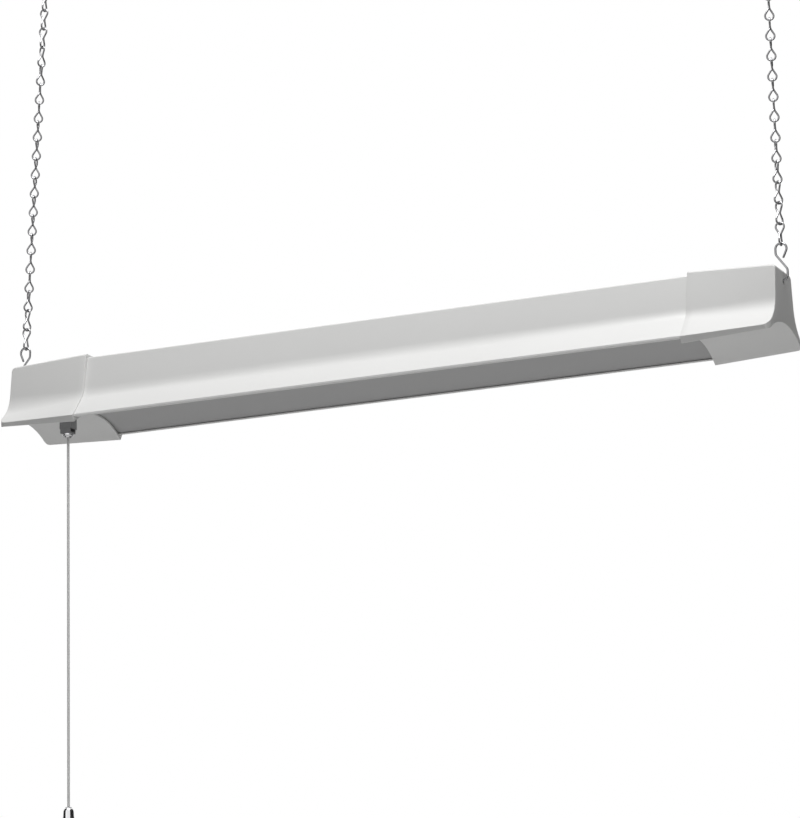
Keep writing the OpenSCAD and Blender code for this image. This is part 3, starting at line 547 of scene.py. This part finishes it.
def knotMesh():
    # An overhand knot drawn tight, as a short trefoil of cord
    middle = Vector((switch["x"], switch["y"], cord["bell"] - 4.3))
    points = []
    for i in range(48):
        t = 2 * math.pi * i / 48
        x = (math.sin(t) + 2 * math.sin(2 * t)) * 0.55
        y = (math.cos(t) - 2 * math.cos(2 * t)) * 0.55
        points.append(middle + Vector((x, y, -math.sin(3 * t) * 0.75)))
    return wireMesh([points], 2.1, cyclic=True)


cordPiece = makeCord(cord)
bellMesh = latheMesh("bellPull", bellProfile(cord["bellHeight"]), switch["x"], switch["y"], cord["bell"])
bellPiece = finishPiece("bellPull", bellMesh, chrome, "cord", ["bell_pull"], sharp=50)
knotPiece = finishPiece("cordKnot", knotMesh(), braid, "cord", ["cord_knot"], sharp=60)
print("pull cord made")


# ---- the light's section: corner y and z, corner radius, wall lean, edge y and z, flange lean, flare radius
hoodShape = [22.6, 79.6, 2.4, 10.7, 54, 8.1, 40, 32]
hood = {"halfLength": 374.5, "sheet": 0.8, "hemWidth": 4.8, "hemHeight": 2.5}
cap = {"length": 95.5, "seam": 354.5, "step": 3.6, "flangeStep": 1.7, "lipReach": 3.4, "endDrop": 4.4,
       "endLift": 4.5, "endFlare": 8,
       "endBend": 11.6, "endUpright": 3.2, "endNarrow": 2, "planRadius": 9, "edgeRadius": 4,
       "archHalf": 52.6, "archRise": 16.5, "lipIn": 1.2, "skin": 2,
       "holeDiameter": 6, "holeHeight": 65.5, "endWall": 2.2, "wall": 2.2, "insert": 20,
       "cornerEase": 0.9, "seamEase": 0.3, "lipRound": 3, "fit": 0.3, "roomFrom": 87.5, "roomHalf": 49.5,
       "screwX": 364.5, "screwY": 11, "screwBore": 3.35}


def inset(s, o):
    wall, flange = math.radians(s[3]), math.radians(s[6])
    return [s[0] + o * math.tan(wall) - o / math.cos(wall), s[1] - o, max(s[2] - o, 0.3), s[3],
            s[4] - o * math.cos(flange), s[5] - o * math.sin(flange), s[6], s[7] + o]


def halfOutline(s, cornerSteps, flareSteps):
    # From the top's corner down the wall and round the flare, without the flange's edge
    wall, flange = math.radians(s[3]), math.radians(s[6])
    bendZ = ((s[4] + s[5] * math.tan(flange) - s[0] - s[1] * math.tan(wall))
             / (math.tan(flange) - math.tan(wall)))
    bendY = s[4] - (bendZ - s[5]) * math.tan(flange)
    reach = s[7] * math.tan((flange - wall) / 2)
    startY, startZ = bendY - reach * math.sin(wall), bendZ + reach * math.cos(wall)
    flareY, flareZ = startY + s[7] * math.cos(wall), startZ + s[7] * math.sin(wall)
    cornerY, cornerZ = s[0] - s[2] * math.tan((math.pi / 2 - wall) / 2), s[1] - s[2]
    outline = []
    for i in range(cornerSteps + 1):
        turn = math.pi / 2 - (math.pi / 2 - wall) * i / cornerSteps
        outline.append((cornerY + s[2] * math.cos(turn), cornerZ + s[2] * math.sin(turn)))
    for i in range(flareSteps + 1):
        turn = wall + (flange - wall) * i / flareSteps
        outline.append((flareY - s[7] * math.cos(turn), flareZ - s[7] * math.sin(turn)))
    return outline


def easedCorner(before, corner, after, radius, steps=4):
    a = (Vector(before) - Vector(corner)).normalized()
    b = (Vector(after) - Vector(corner)).normalized()
    half = math.acos(max(-1, min(1, a.dot(b)))) / 2
    near = (Vector(before) - Vector(corner)).length
    far = (Vector(after) - Vector(corner)).length
    reach = min(radius / math.tan(half), near * 0.45, far * 0.45)
    start, end = Vector(corner) + a * reach, Vector(corner) + b * reach
    points = []
    for i in range(steps + 1):
        t = i / steps
        p = start * (1 - t) ** 2 + Vector(corner) * 2 * t * (1 - t) + end * t * t
        points.append((p.x, p.y))
    return points


def makeHood():
    s = hoodShape
    lip, low = s[5] - hood["hemHeight"], hood["sheet"]
    outside = halfOutline(s, 8, 28)
    outside += easedCorner(outside[-1], (s[4], s[5]), (s[4], lip), 0.5)
    outside += easedCorner((s[4], s[5]), (s[4], lip), (s[4] - 4, lip), 0.45)
    outside += easedCorner((s[4], lip), (s[4] - hood["hemWidth"], lip),
                           (s[4] - hood["hemWidth"], lip + low), 0.35, 3)
    outside += easedCorner((s[4] - hood["hemWidth"], lip), (s[4] - hood["hemWidth"], lip + low),
                           (s[4] - low, lip + low), 0.35, 3)
    outside.append((s[4] - low, lip + low))
    inner = inset(s, low)
    inside = halfOutline(inner, 8, 28)
    lean = math.tan(math.radians(s[6]))
    inside.append((s[4] - low, inner[5] + (inner[4] - s[4] + low) / lean))
    half = outside + list(reversed(inside))
    ring = [(0, s[1])] + half + [(0, s[1] - low)] + [(-y, z) for y, z in reversed(half)]
    stations = [-hood["halfLength"] + 2 * hood["halfLength"] * i / 20 for i in range(21)]
    mesh = ringMesh("hood", [[place(x, y, z) for y, z in ring] for x in stations])
    mesh = cutMesh(mesh, [boxMesh((-460, -60, -12), (-360.5, -32.85, 17.2))])
    return finishPiece("hood", mesh, enamel, "light", ["hood"], sharp=32)


lens = {"half": 51.8, "edge": 6.4, "peak": 19.2, "thickness": 1.6, "halfLength": 364.5}


def makeLens():
    sag = lens["peak"] - lens["edge"]
    radius = (lens["half"] ** 2 + sag ** 2) / (2 * sag)
    centre = lens["peak"] - radius
    steps = 64
    under = [(lens["half"] * (1 - 2 * i / steps)) for i in range(steps + 1)]
    ring = [(y, centre + math.sqrt(radius ** 2 - y * y)) for y in under]
    over = radius + lens["thickness"]
    ring += [(y, centre + math.sqrt(over ** 2 - y * y)) for y in reversed(under)]
    stations = [-lens["halfLength"] + 2 * lens["halfLength"] * i / 12 for i in range(13)]
    mesh = ringMesh("lens", [[place(x, y, z) for y, z in ring] for x in stations])
    mesh = cutMesh(mesh, [boxMesh((-460, -60, -12), (-360.5, -32.85, 17.2))])
    return finishPiece("opalLens", mesh, opal, "light", ["lens"], sharp=40)


def capShapes():
    flange = math.radians(hoodShape[6])
    edgeY = hoodShape[4] + cap["flangeStep"] * math.cos(flange) + cap["lipReach"] * math.sin(flange)
    edgeZ = hoodShape[5] + cap["flangeStep"] * math.sin(flange) - cap["lipReach"] * math.cos(flange)
    wall = math.radians(hoodShape[3])
    seam = [hoodShape[0] - cap["step"] * math.tan(wall) + cap["step"] / math.cos(wall),
            hoodShape[1] + cap["step"], hoodShape[2] + 0.6,
            hoodShape[3], edgeY, edgeZ, hoodShape[6], hoodShape[7] - cap["step"]]
    change = [0, -cap["endDrop"], 0, -cap["endUpright"], -cap["endNarrow"], cap["endLift"] / 2.5,
              cap["endFlare"], cap["endBend"]]
    return seam, [a + b for a, b in zip(seam, change)]


seamShape, endShape = capShapes()
archRadius = (cap["archHalf"] ** 2 + cap["archRise"] ** 2) / (2 * cap["archRise"])
archSlope = (cap["endLift"] - 0.7) / cap["length"]


def archHeight(x, y, grown=0.0):
    return cap["archRise"] - archRadius + x * archSlope + math.sqrt((archRadius + grown) ** 2 - y * y)


def rounding(distance, radius):
    # How far a rounded edge has fallen at a distance before its end
    if distance >= radius:
        return 0.0
    return radius - math.sqrt(max(0.0, radius ** 2 - (radius - distance) ** 2))


def capOutline(x):
    length = cap["length"]
    k = x / length
    s = [a * (1 - k) + b * k for a, b in zip(seamShape, endShape)]
    fall = rounding(length - x, cap["edgeRadius"])
    s[0] += fall * math.tan(math.radians(s[3]))
    s[1] -= fall
    ease = rounding(length - x, cap["cornerEase"]) + rounding(x, cap["seamEase"])
    s = inset(s, ease)
    trim = s[4] - rounding(length - x, cap["planRadius"])
    edge = (trim, s[5] + (s[4] - trim) / math.tan(math.radians(s[6])))
    half = halfOutline(s, 8, 20)
    lip = cap["endLift"] * k + ease * 0.5 + rounding(length - x, cap["lipRound"])
    outer = min(cap["archHalf"] + cap["lipIn"] - ease, trim - 0.35)
    inner = min(cap["archHalf"] - ease * 0.3, outer - 0.6)
    bottom = (outer, max(lip, archHeight(x, outer) + ease * 0.5 if outer < cap["archHalf"] else lip))
    under = (inner, max(bottom[1], archHeight(x, inner)) if outer < cap["archHalf"] else lip)
    half += easedCorner(half[-1], edge, bottom, 0.7)
    half += easedCorner(edge, bottom, under, 0.4, 3)
    steps = 40
    for i in range(steps // 2 + 1):
        y = inner * (1 - 2 * i / steps)
        half.append((y, max(archHeight(x, y) + ease * 0.6, lip)))
    return half


def capStations():
    length, radius = cap["length"], cap["planRadius"]
    stations = [cap["seamEase"] * (1 - math.cos(math.radians(a))) for a in (0, 30, 60, 90)]
    stations += [cap["seamEase"] + (length - radius - cap["seamEase"]) * i / 12 for i in range(1, 13)]
    stations += [length - radius + radius * math.sin(math.radians(a)) for a in range(6, 90, 6)]
    stations += [length - cap["cornerEase"] * (1 - math.sin(math.radians(a))) for a in (20, 40, 60, 75)]
    stations += [length]
    return sorted(set(round(v, 5) for v in stations))


def capSocket(x):
    # The opening that the hood's end slides into, with the cap's skin as its floor
    gap = cap["fit"]
    s = inset(hoodShape, -gap)
    low = hoodShape[5] - hood["hemHeight"] - gap
    half = halfOutline(s, 8, 20)
    edge = (s[4], s[5])
    corner = (s[4], low)
    centre = cap["archRise"] - archRadius + x * archSlope
    floor = math.sqrt((archRadius + cap["skin"]) ** 2 - (low - centre) ** 2)
    half += easedCorner(half[-1], edge, corner, 0.2)
    half += easedCorner(edge, corner, (floor, low), 0.2, 3)
    steps = 40
    for i in range(steps // 2 + 1):
        y = floor * (1 - 2 * i / steps)
        half.append((y, archHeight(x, y, cap["skin"])))
    return half


def wholeCapRing(half, x):
    # The half ends on the middle line, so the mirrored half leaves that point out
    left = [(-y, z) for y, z in reversed(half[:-1])]
    return [place(x, y, z) for y, z in half + left]


def capHollow(x):
    # The room inside a cap, beyond the hood's end and over the skin
    k = x / cap["length"]
    s = inset([a * (1 - k) + b * k for a, b in zip(seamShape, endShape)], cap["wall"])
    half = halfOutline(s, 8, 20)
    half.append((s[4], s[5]))
    floor = min(s[4], cap["archHalf"]) - 0.6
    steps = 40
    for i in range(steps // 2 + 1):
        y = floor * (1 - 2 * i / steps)
        half.append((y, archHeight(x, y, cap["skin"])))
    return half


def hollowMesh(side):
    start, end = cap["insert"] - 1, cap["length"] - cap["endWall"]
    stations = [start + (end - start) * i / 8 for i in range(9)]
    room = ringMesh("hollow", [wholeCapRing(capHollow(x), side * (cap["seam"] + x)) for x in stations])
    # The room keeps off the cap's rounded corners, so that they stay closed
    near, far = side * (cap["seam"] + cap["roomFrom"]), side * (cap["seam"] + cap["length"] + 3.5)
    low, high = min(near, far), max(near, far)
    half = cap["roomHalf"]
    corners = [boxMesh((low, a, -2), (high, b, 30))
               for a, b in ((-half - 16.5, -half), (half, half + 16.5))]
    return cutMesh(room, corners)


def makeCap(name, side, cuts, node):
    rings = []
    for depth in (cap["insert"] + cap["fit"], 12, 4, 0.3, 0):
        rings.append(wholeCapRing(capSocket(depth), side * (cap["seam"] + depth)))
    for x in capStations():
        rings.append(wholeCapRing(capOutline(x), side * (cap["seam"] + x)))
    mesh = ringMesh(name, rings)
    mesh = cutMesh(mesh, cuts)
    return finishPiece(name, mesh, moulding, "light", [node], sharp=34)


def sharedCuts(side):
    end = side * (cap["seam"] + cap["length"])
    hole = [(end - side * 30, 0, cap["holeHeight"]), (end + side * 2, 0, cap["holeHeight"])]
    cuts = [hollowMesh(side), rodMesh(*hole, cap["holeDiameter"] / 2)]
    screwX = side * cap["screwX"]
    for y in (-cap["screwY"], cap["screwY"]):
        cuts.append(rodMesh((screwX, y, 82), (screwX, y, 90), cap["screwBore"]))
    return cuts


inlet = {"x": -412, "y": 8, "z": 80.5508, "radius": 8.05}
lean = math.atan(cap["endDrop"] / cap["length"])
inletAxis = Vector((-math.sin(lean), 0, math.cos(lean)))
inletPlace = Vector((inlet["x"], inlet["y"], inlet["z"]))
makeHood()
makeLens()
print("hood and lens made")
makeCap("endCapRight", 1, sharedCuts(1), "end_cap_right")
leftCuts = sharedCuts(-1)
leftCuts.append(rodMesh(inletPlace - inletAxis * 8, inletPlace + inletAxis * 8, inlet["radius"]))
halfWidth, halfDepth = switch["width"] / 2, switch["depth"] / 2
leftCuts.append(boxMesh((switch["x"] - halfWidth, switch["y"] - halfDepth, -1),
                        (switch["x"] + halfWidth, switch["y"] + halfDepth, cap["archRise"])))
makeCap("endCapLeft", -1, leftCuts, "end_cap_left")
print("end caps made")


# ---- pull switch
nut = {"radius": 6, "height": 3.4, "flutes": 24}


switchShell = {"wall": 1.2, "ledge": 4.8, "bore": 4.05}


def makeSwitchBox():
    low = (switch["x"] - switch["width"] / 2, switch["y"] - switch["depth"] / 2, switch["under"])
    high = (switch["x"] + switch["width"] / 2, switch["y"] + switch["depth"] / 2,
            switch["under"] + switch["height"])
    mesh = boxMesh(low, high)
    wall, x, y = switchShell["wall"], switch["x"], switch["y"]
    inner = boxMesh((low[0] + wall, low[1] + wall, low[2] + wall),
                    (high[0] - wall, high[1] - wall, high[2] + 2))
    cuts = [inner, rodMesh((x, y, low[2] - 2), (x, y, low[2] + 3), switchShell["bore"])]
    ledge = low[2] + switchShell["ledge"]  # the box is narrower under this height
    cuts.append(boxMesh((high[0] - 1.5, low[1] - 1, low[2] - 1), (high[0] + 1, high[1] + 1, ledge)))
    cuts.append(boxMesh((low[0] - 1, low[1] - 1, low[2] - 1), (low[0] + 0.6, high[1] + 1, ledge)))
    cuts.append(boxMesh((low[0] - 1, low[1] - 1, low[2] - 1), (high[0] + 1, low[1] + 0.6, ledge)))
    mesh = cutMesh(mesh, cuts)
    thing = bpy.data.objects.new("switchBox", mesh)
    bpy.context.collection.objects.link(thing)
    bevel = thing.modifiers.new("edges", "BEVEL")
    bevel.width = 0.0004
    bevel.segments = 3
    bevel.limit_method = "ANGLE"
    return finishPiece("switchBox", bakedMesh(thing), darkPlastic, "light", ["switch_body"],
                       sharp=30)


def makeNut():
    # A round chrome nut with a fluted edge
    points, faces = [], []
    sides = nut["flutes"] * 6
    base = switch["under"] - nut["height"]
    profile = [(4.05, 3.4), (5.3, 3.4), (5.8, 3.2), (6.0, 2.8), (6.0, 1.3), (5.75, 0.6), (5.2, 0.15),
               (4.6, 0.0), (4.05, 0.1)]
    for i in range(sides):
        turn = 2 * math.pi * i / sides
        flute = 0.12 * (0.5 + 0.5 * math.cos(turn * nut["flutes"]))
        for radius, height in profile:
            r = radius - (flute if radius > 5.7 else 0)
            points.append(place(switch["x"] + r * math.cos(turn), switch["y"] + r * math.sin(turn),
                                base + height))
    count = len(profile)
    for i in range(sides):
        for j in range(count):
            a, b = i * count, (i + 1) % sides * count
            faces.append((a + j, a + (j + 1) % count, b + (j + 1) % count, b + j))
    mesh = meshFrom("bushingNut", points, faces)
    return finishPiece("bushingNut", mesh, chrome, "light", ["bushing_nut"], sharp=50)


def makeSpring():
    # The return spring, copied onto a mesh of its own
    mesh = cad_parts["slider_spring"].data.copy()
    piece = finishPiece("sliderSpring", mesh, plate, "light", ["slider_spring"], sharp=40)
    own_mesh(piece)
    return piece


makeSwitchBox()
makeNut()
makeSpring()
print("pull switch made")


# ---- hooks and chains
wires = {"hook": 2.4, "link": 2.0, "ceiling": 3.5}
hookShape = {"radius": 6.0, "half": 14.0, "slant": 36, "arm": 8.5, "armLean": 25}
chain = {"links": 20, "first": 104.6, "half": 12.2, "pitch": 22.3, "loop": 4.5, "waist": 0.75, "twist": 78,
         "twistLinks": 16, "leftLean": 3.4, "leftTop": -420.531, "rightTop": 448.9, "hookX": 448.9,
         "reach": 477.5,
         "upperHook": 570.4, "lowerHook": 86.9, "pivot": 72.9}


def sHookRoute(lowEnd):
    # The hook in its own plane, from the arm's tip to the lower loop's open end
    r, h = hookShape["radius"], hookShape["half"]
    lean = math.radians(hookShape["armLean"])
    elbow = Vector((r * math.cos(lean), 0, h - r * math.sin(lean)))
    tip = elbow - hookShape["arm"] * Vector((math.sin(lean), 0, math.cos(lean)))
    route = [tip, (tip + elbow) / 2]
    slant = math.radians(hookShape["slant"])
    bend = r / math.sin(slant)
    route += arcPoints((0, 0, h), r, -hookShape["armLean"], 180, 24)
    route += arcPoints((0, 0, bend), r, 180, 180 + hookShape["slant"], 8)
    route += [Vector((0, 0, 0))]
    route += arcPoints((0, 0, -bend), r, hookShape["slant"], 0, 8)
    route += arcPoints((0, 0, -h), r, 0, -lowEnd, 24)
    return route


def makeSHook(name, node, body, lowEnd, place3, turn, lean=0.0, flip=False, pivot=None):
    route = [p.copy() for p in sHookRoute(lowEnd)]
    if flip:
        route = [Vector((-p.x, p.y, p.z)) for p in route]
    spin = Matrix.Rotation(math.radians(turn), 3, "Z")
    route = [spin @ p for p in route]
    tilt = Matrix.Rotation(math.radians(lean), 3, "Y")
    middle = Vector(place3)
    if pivot is not None:
        route = [Vector(pivot) + tilt @ (p + middle - Vector(pivot)) for p in route]
    else:
        route = [p + middle for p in route]
    mesh = wireMesh([route], wires["hook"])
    return finishPiece(name, mesh, zinc, body, [node], sharp=50)


def linkRoute():
    # One jack chain link: two drop-shaped loops at right angles, crossing at the waist
    r, c, side = chain["loop"], chain["half"] - chain["loop"], chain["waist"]
    d = math.hypot(side, c)
    lean = math.degrees(math.asin(r / d) - math.atan(side / c))
    upper = arcPoints((0, 0, c), r, -lean, 180 + lean, 12)
    lower = [Vector((0, p.x, -p.z)) for p in reversed(upper)]
    waistA = Vector((-side, -side, 0))
    waistB = Vector((side, side, 0))
    bulgeX, bulgeY = Vector((0.12, 0, 0)), Vector((0, 0.12, 0))
    points = upper + [(upper[-1] + waistA) * 0.5 + bulgeY, waistA, (waistA + lower[0]) * 0.5 + bulgeX]
    points += lower + [(lower[-1] + waistB) * 0.5 - bulgeX, waistB, (waistB + upper[0]) * 0.5 - bulgeY]
    return smoothRoute(points, True, 3)


def makeChain(name, node, body, x, lean):
    shape = linkRoute()
    reach = chain["reach"]
    pitch = chain["pitch"] + (reach / math.cos(math.radians(lean)) - reach) / chain["links"]
    tilt = Matrix.Rotation(math.radians(lean), 3, "Y")
    pivot = Vector((x, 0, chain["pivot"]))
    routes = []
    for i in range(chain["links"]):
        share = min(1, i / chain["twistLinks"])
        twist = -chain["twist"] * math.sin(math.pi * share) ** 0.6
        spin = Matrix.Rotation(math.radians(twist), 3, "Z")
        middle = Vector((x, 0, chain["first"] + chain["half"] + i * pitch))
        routes.append([pivot + tilt @ (spin @ p + middle - pivot) for p in shape])
    mesh = wireMesh(routes, wires["link"], cyclic=True)
    return finishPiece(name, mesh, zinc, body, [node], sharp=60)


screwHook = {"across": 587.35, "bend": 8.0, "neck": 6.0, "collar": 1.6, "turns": 9, "sides": 24,
             "length": 19.0,
             "tip": 5.0, "thread": 2.6, "core": 1.55, "ridge": 0.45, "plain": 0.42}


def makeCeilingHook(name, node, x):
    # A bent wire hook with a collar and a wood screw's shank
    across, bend, neck = screwHook["across"], screwHook["bend"], screwHook["neck"]
    neckZ = hanging["ceilingZ"] - screwHook["collar"]
    slope = bend - neck * math.tan(math.radians(22.5))
    diagonal = math.cos(math.radians(45))
    route = list(reversed(arcPoints((x, 0, across + bend), bend, 135, 385, 40)))
    shoulder = Vector((x - bend * diagonal, 0, across + bend + bend * diagonal))
    route += [shoulder + Vector((slope * diagonal, 0, slope * diagonal)) * 0.5]
    route += arcPoints((x - neck, 0, neckZ), neck, -45, 0, 8)
    route += [Vector((x, 0, neckZ + 1.2))]
    hook = wireMesh([route], wires["ceiling"], roundEnds=0.3)
    rim = [(0.4, -0.8), (3.1, -0.8), (3.45, -0.6), (3.5, -0.3), (3.4, -0.05), (0.4, -0.02)]
    collar = latheMesh("collar", rim, x, 0, hanging["ceilingZ"])
    perTurn, rows = screwHook["sides"], screwHook["turns"] * 8
    length, tip, thick = screwHook["length"], screwHook["tip"], screwHook["core"]
    points, faces = [], []
    for i in range(rows + 1):
        z = (length + tip) * i / rows
        core = thick if z < length else thick * (1 - (z - length) / tip) + 0.1
        for j in range(perTurn):
            turn = 2 * math.pi * j / perTurn
            wave = (z / screwHook["thread"] - j / perTurn) % 1
            ridge = max(0.0, 1 - abs(wave - 0.5) * 5)
            grow = min(1.0, z / 4) * (1 if z < length else max(0.0, 1 - (z - length) / tip))
            plain = max(0.0, 1 - z / 4)
            r = core + screwHook["ridge"] * ridge * grow + screwHook["plain"] * plain
            points.append(place(x + r * math.cos(turn), r * math.sin(turn), hanging["ceilingZ"] - 0.3 + z))
    for i in range(rows):
        for j in range(perTurn):
            a, b = i * perTurn, (i + 1) * perTurn
            faces.append((a + j, a + (j + 1) % perTurn, b + (j + 1) % perTurn, b + j))
    faces += [tuple(range(perTurn)), tuple(range(rows * perTurn, (rows + 1) * perTurn))]
    screw = meshFrom("screw", points, faces)
    work = bmesh.new()
    for part in (hook, collar, screw):
        work.from_mesh(part)
    whole = bpy.data.meshes.new(name)
    work.to_mesh(whole)
    work.free()
    for part in (hook, collar, screw):
        bpy.data.meshes.remove(part)
    return finishPiece(name, whole, zinc, "ceiling", [node], sharp=40)


hookX, upper, lower = chain["hookX"], chain["upperHook"], chain["lowerHook"]
makeSHook("upperHookLeft", "upper_s_hook_left", "hangers", 205, (chain["leftTop"], 0, upper), 90)
makeSHook("upperHookRight", "upper_s_hook_right", "hangers", 205, (chain["rightTop"], 0, upper), 90)
makeSHook("lowerHookLeft", "lower_s_hook_left", "left_chain", 160, (-hookX, 0, lower), 0,
          lean=chain["leftLean"], flip=True, pivot=(-hookX, 0, chain["pivot"]))
makeSHook("lowerHookRight", "lower_s_hook_right", "right_chain", 160, (hookX, 0, lower), 0)
makeChain("jackChainLeft", "chain_left", "left_chain", -hookX, chain["leftLean"])
makeChain("jackChainRight", "chain_right", "right_chain", hookX, 0)
makeCeilingHook("screwHookLeft", "ceiling_hook_left", chain["leftTop"])
makeCeilingHook("screwHookRight", "ceiling_hook_right", chain["rightTop"])
print("hooks and chains made")

# ---- studio
studio = {"floor": -1.75, "floorSize": 30, "floorColour": (0.8, 0.8, 0.8), "ambient": 0.25}
lamps = [
    {"name": "topLamp", "at": (0.4, -0.75, 1.9), "aim": (0, 0, -0.55), "size": 2.0, "power": 72},
    {"name": "frontLamp", "at": (-1.6, -3.2, 0.4), "aim": (0, 0, -0.55), "size": 2.2, "power": 1.5},
]
flags = [
    {"name": "leftFlag", "at": (-1.9, -0.65, -0.3), "turn": 23.8, "size": (2.2, 5)},
    {"name": "rightFlag", "at": (1.9, 0.65, -0.3), "turn": 23.8, "size": (5.6, 5)},
]


def makeWorld():
    # White for the camera, gloss and glass; a dim room, brighter overhead, for the light
    world = bpy.data.worlds.new("studioWorld")
    bpy.context.scene.world = world
    world.use_nodes = True
    tree = world.node_tree
    tree.nodes.clear()
    coords = tree.nodes.new("ShaderNodeTexCoord")
    split = tree.nodes.new("ShaderNodeSeparateXYZ")
    link(tree, coords.outputs["Generated"], split.inputs[0])
    ramp = tree.nodes.new("ShaderNodeValToRGB")
    elements = ramp.color_ramp.elements
    elements[0].color = (0.35, 0.35, 0.35, 1)
    elements[1].color = (1, 1, 1, 1)
    for position, grey in ((0.55, 0.35), (0.75, 0.5), (0.88, 0.95)):
        elements.new(position).color = (grey, grey, grey, 1)
    link(tree, mathNode(tree, "MULTIPLY_ADD", split.outputs[2], 0.5, 0.5), ramp.inputs[0])
    room = tree.nodes.new("ShaderNodeBackground")
    room.inputs["Strength"].default_value = studio["ambient"]
    link(tree, ramp.outputs[0], room.inputs["Color"])
    white = tree.nodes.new("ShaderNodeBackground")
    white.inputs["Color"].default_value = (1, 1, 1, 1)
    path = tree.nodes.new("ShaderNodeLightPath")
    seen = mathNode(tree, "MAXIMUM", path.outputs["Is Camera Ray"], path.outputs["Is Glossy Ray"])
    seen = mathNode(tree, "MAXIMUM", seen, path.outputs["Is Transmission Ray"])
    choose = tree.nodes.new("ShaderNodeMixShader")
    link(tree, seen, choose.inputs[0])
    link(tree, room.outputs[0], choose.inputs[1])
    link(tree, white.outputs[0], choose.inputs[2])
    end = tree.nodes.new("ShaderNodeOutputWorld")
    link(tree, choose.outputs[0], end.inputs["Surface"])


def makeFloor():
    half = studio["floorSize"] / 2
    z = studio["floor"]
    mesh = bpy.data.meshes.new("floor")
    corners = [(-half, -half, z), (half, -half, z), (half, half, z), (-half, half, z)]
    mesh.from_pydata(corners, [], [(0, 1, 2, 3)])
    material = grainMaterial("paleFloor", studio["floorColour"], roughness=0.8, grainSize=60, mottleSize=3,
                             colourChange=0.02)
    mesh.materials.append(material)
    floor = bpy.data.objects.new("floor", mesh)
    bpy.context.collection.objects.link(floor)


def makeFlag(settings):
    # A dark card beside the set, which only reflections see
    width, height = settings["size"]
    mesh = bpy.data.meshes.new(settings["name"])
    y, z = width / 2, height / 2
    corners = [(0, -y, -z), (0, y, -z), (0, y, z), (0, -y, z)]
    mesh.from_pydata(corners, [], [(0, 1, 2, 3)])
    mesh.materials.append(grainMaterial("darkCard", (0.02, 0.02, 0.02), roughness=0.9, grainSize=60))
    card = bpy.data.objects.new(settings["name"], mesh)
    card.location = settings["at"]
    card.rotation_euler.z = math.radians(settings["turn"])
    card.visible_camera = False
    card.visible_diffuse = False
    card.visible_shadow = False
    bpy.context.collection.objects.link(card)


def makeLamp(settings):
    data = bpy.data.lights.new(settings["name"], "AREA")
    data.shape = "DISK"
    data.size = settings["size"]
    data.energy = settings["power"]
    lamp = bpy.data.objects.new(settings["name"], data)
    lamp.location = settings["at"]
    aim = Vector(settings["aim"]) - Vector(settings["at"])
    lamp.rotation_euler = aim.to_track_quat("-Z", "Y").to_euler()
    bpy.context.collection.objects.link(lamp)


makeWorld()
makeFloor()
for flagSettings in flags:
    makeFlag(flagSettings)
for lampSettings in lamps:
    makeLamp(lampSettings)
bpy.context.scene.view_settings.view_transform = "Standard"
print("studio made")
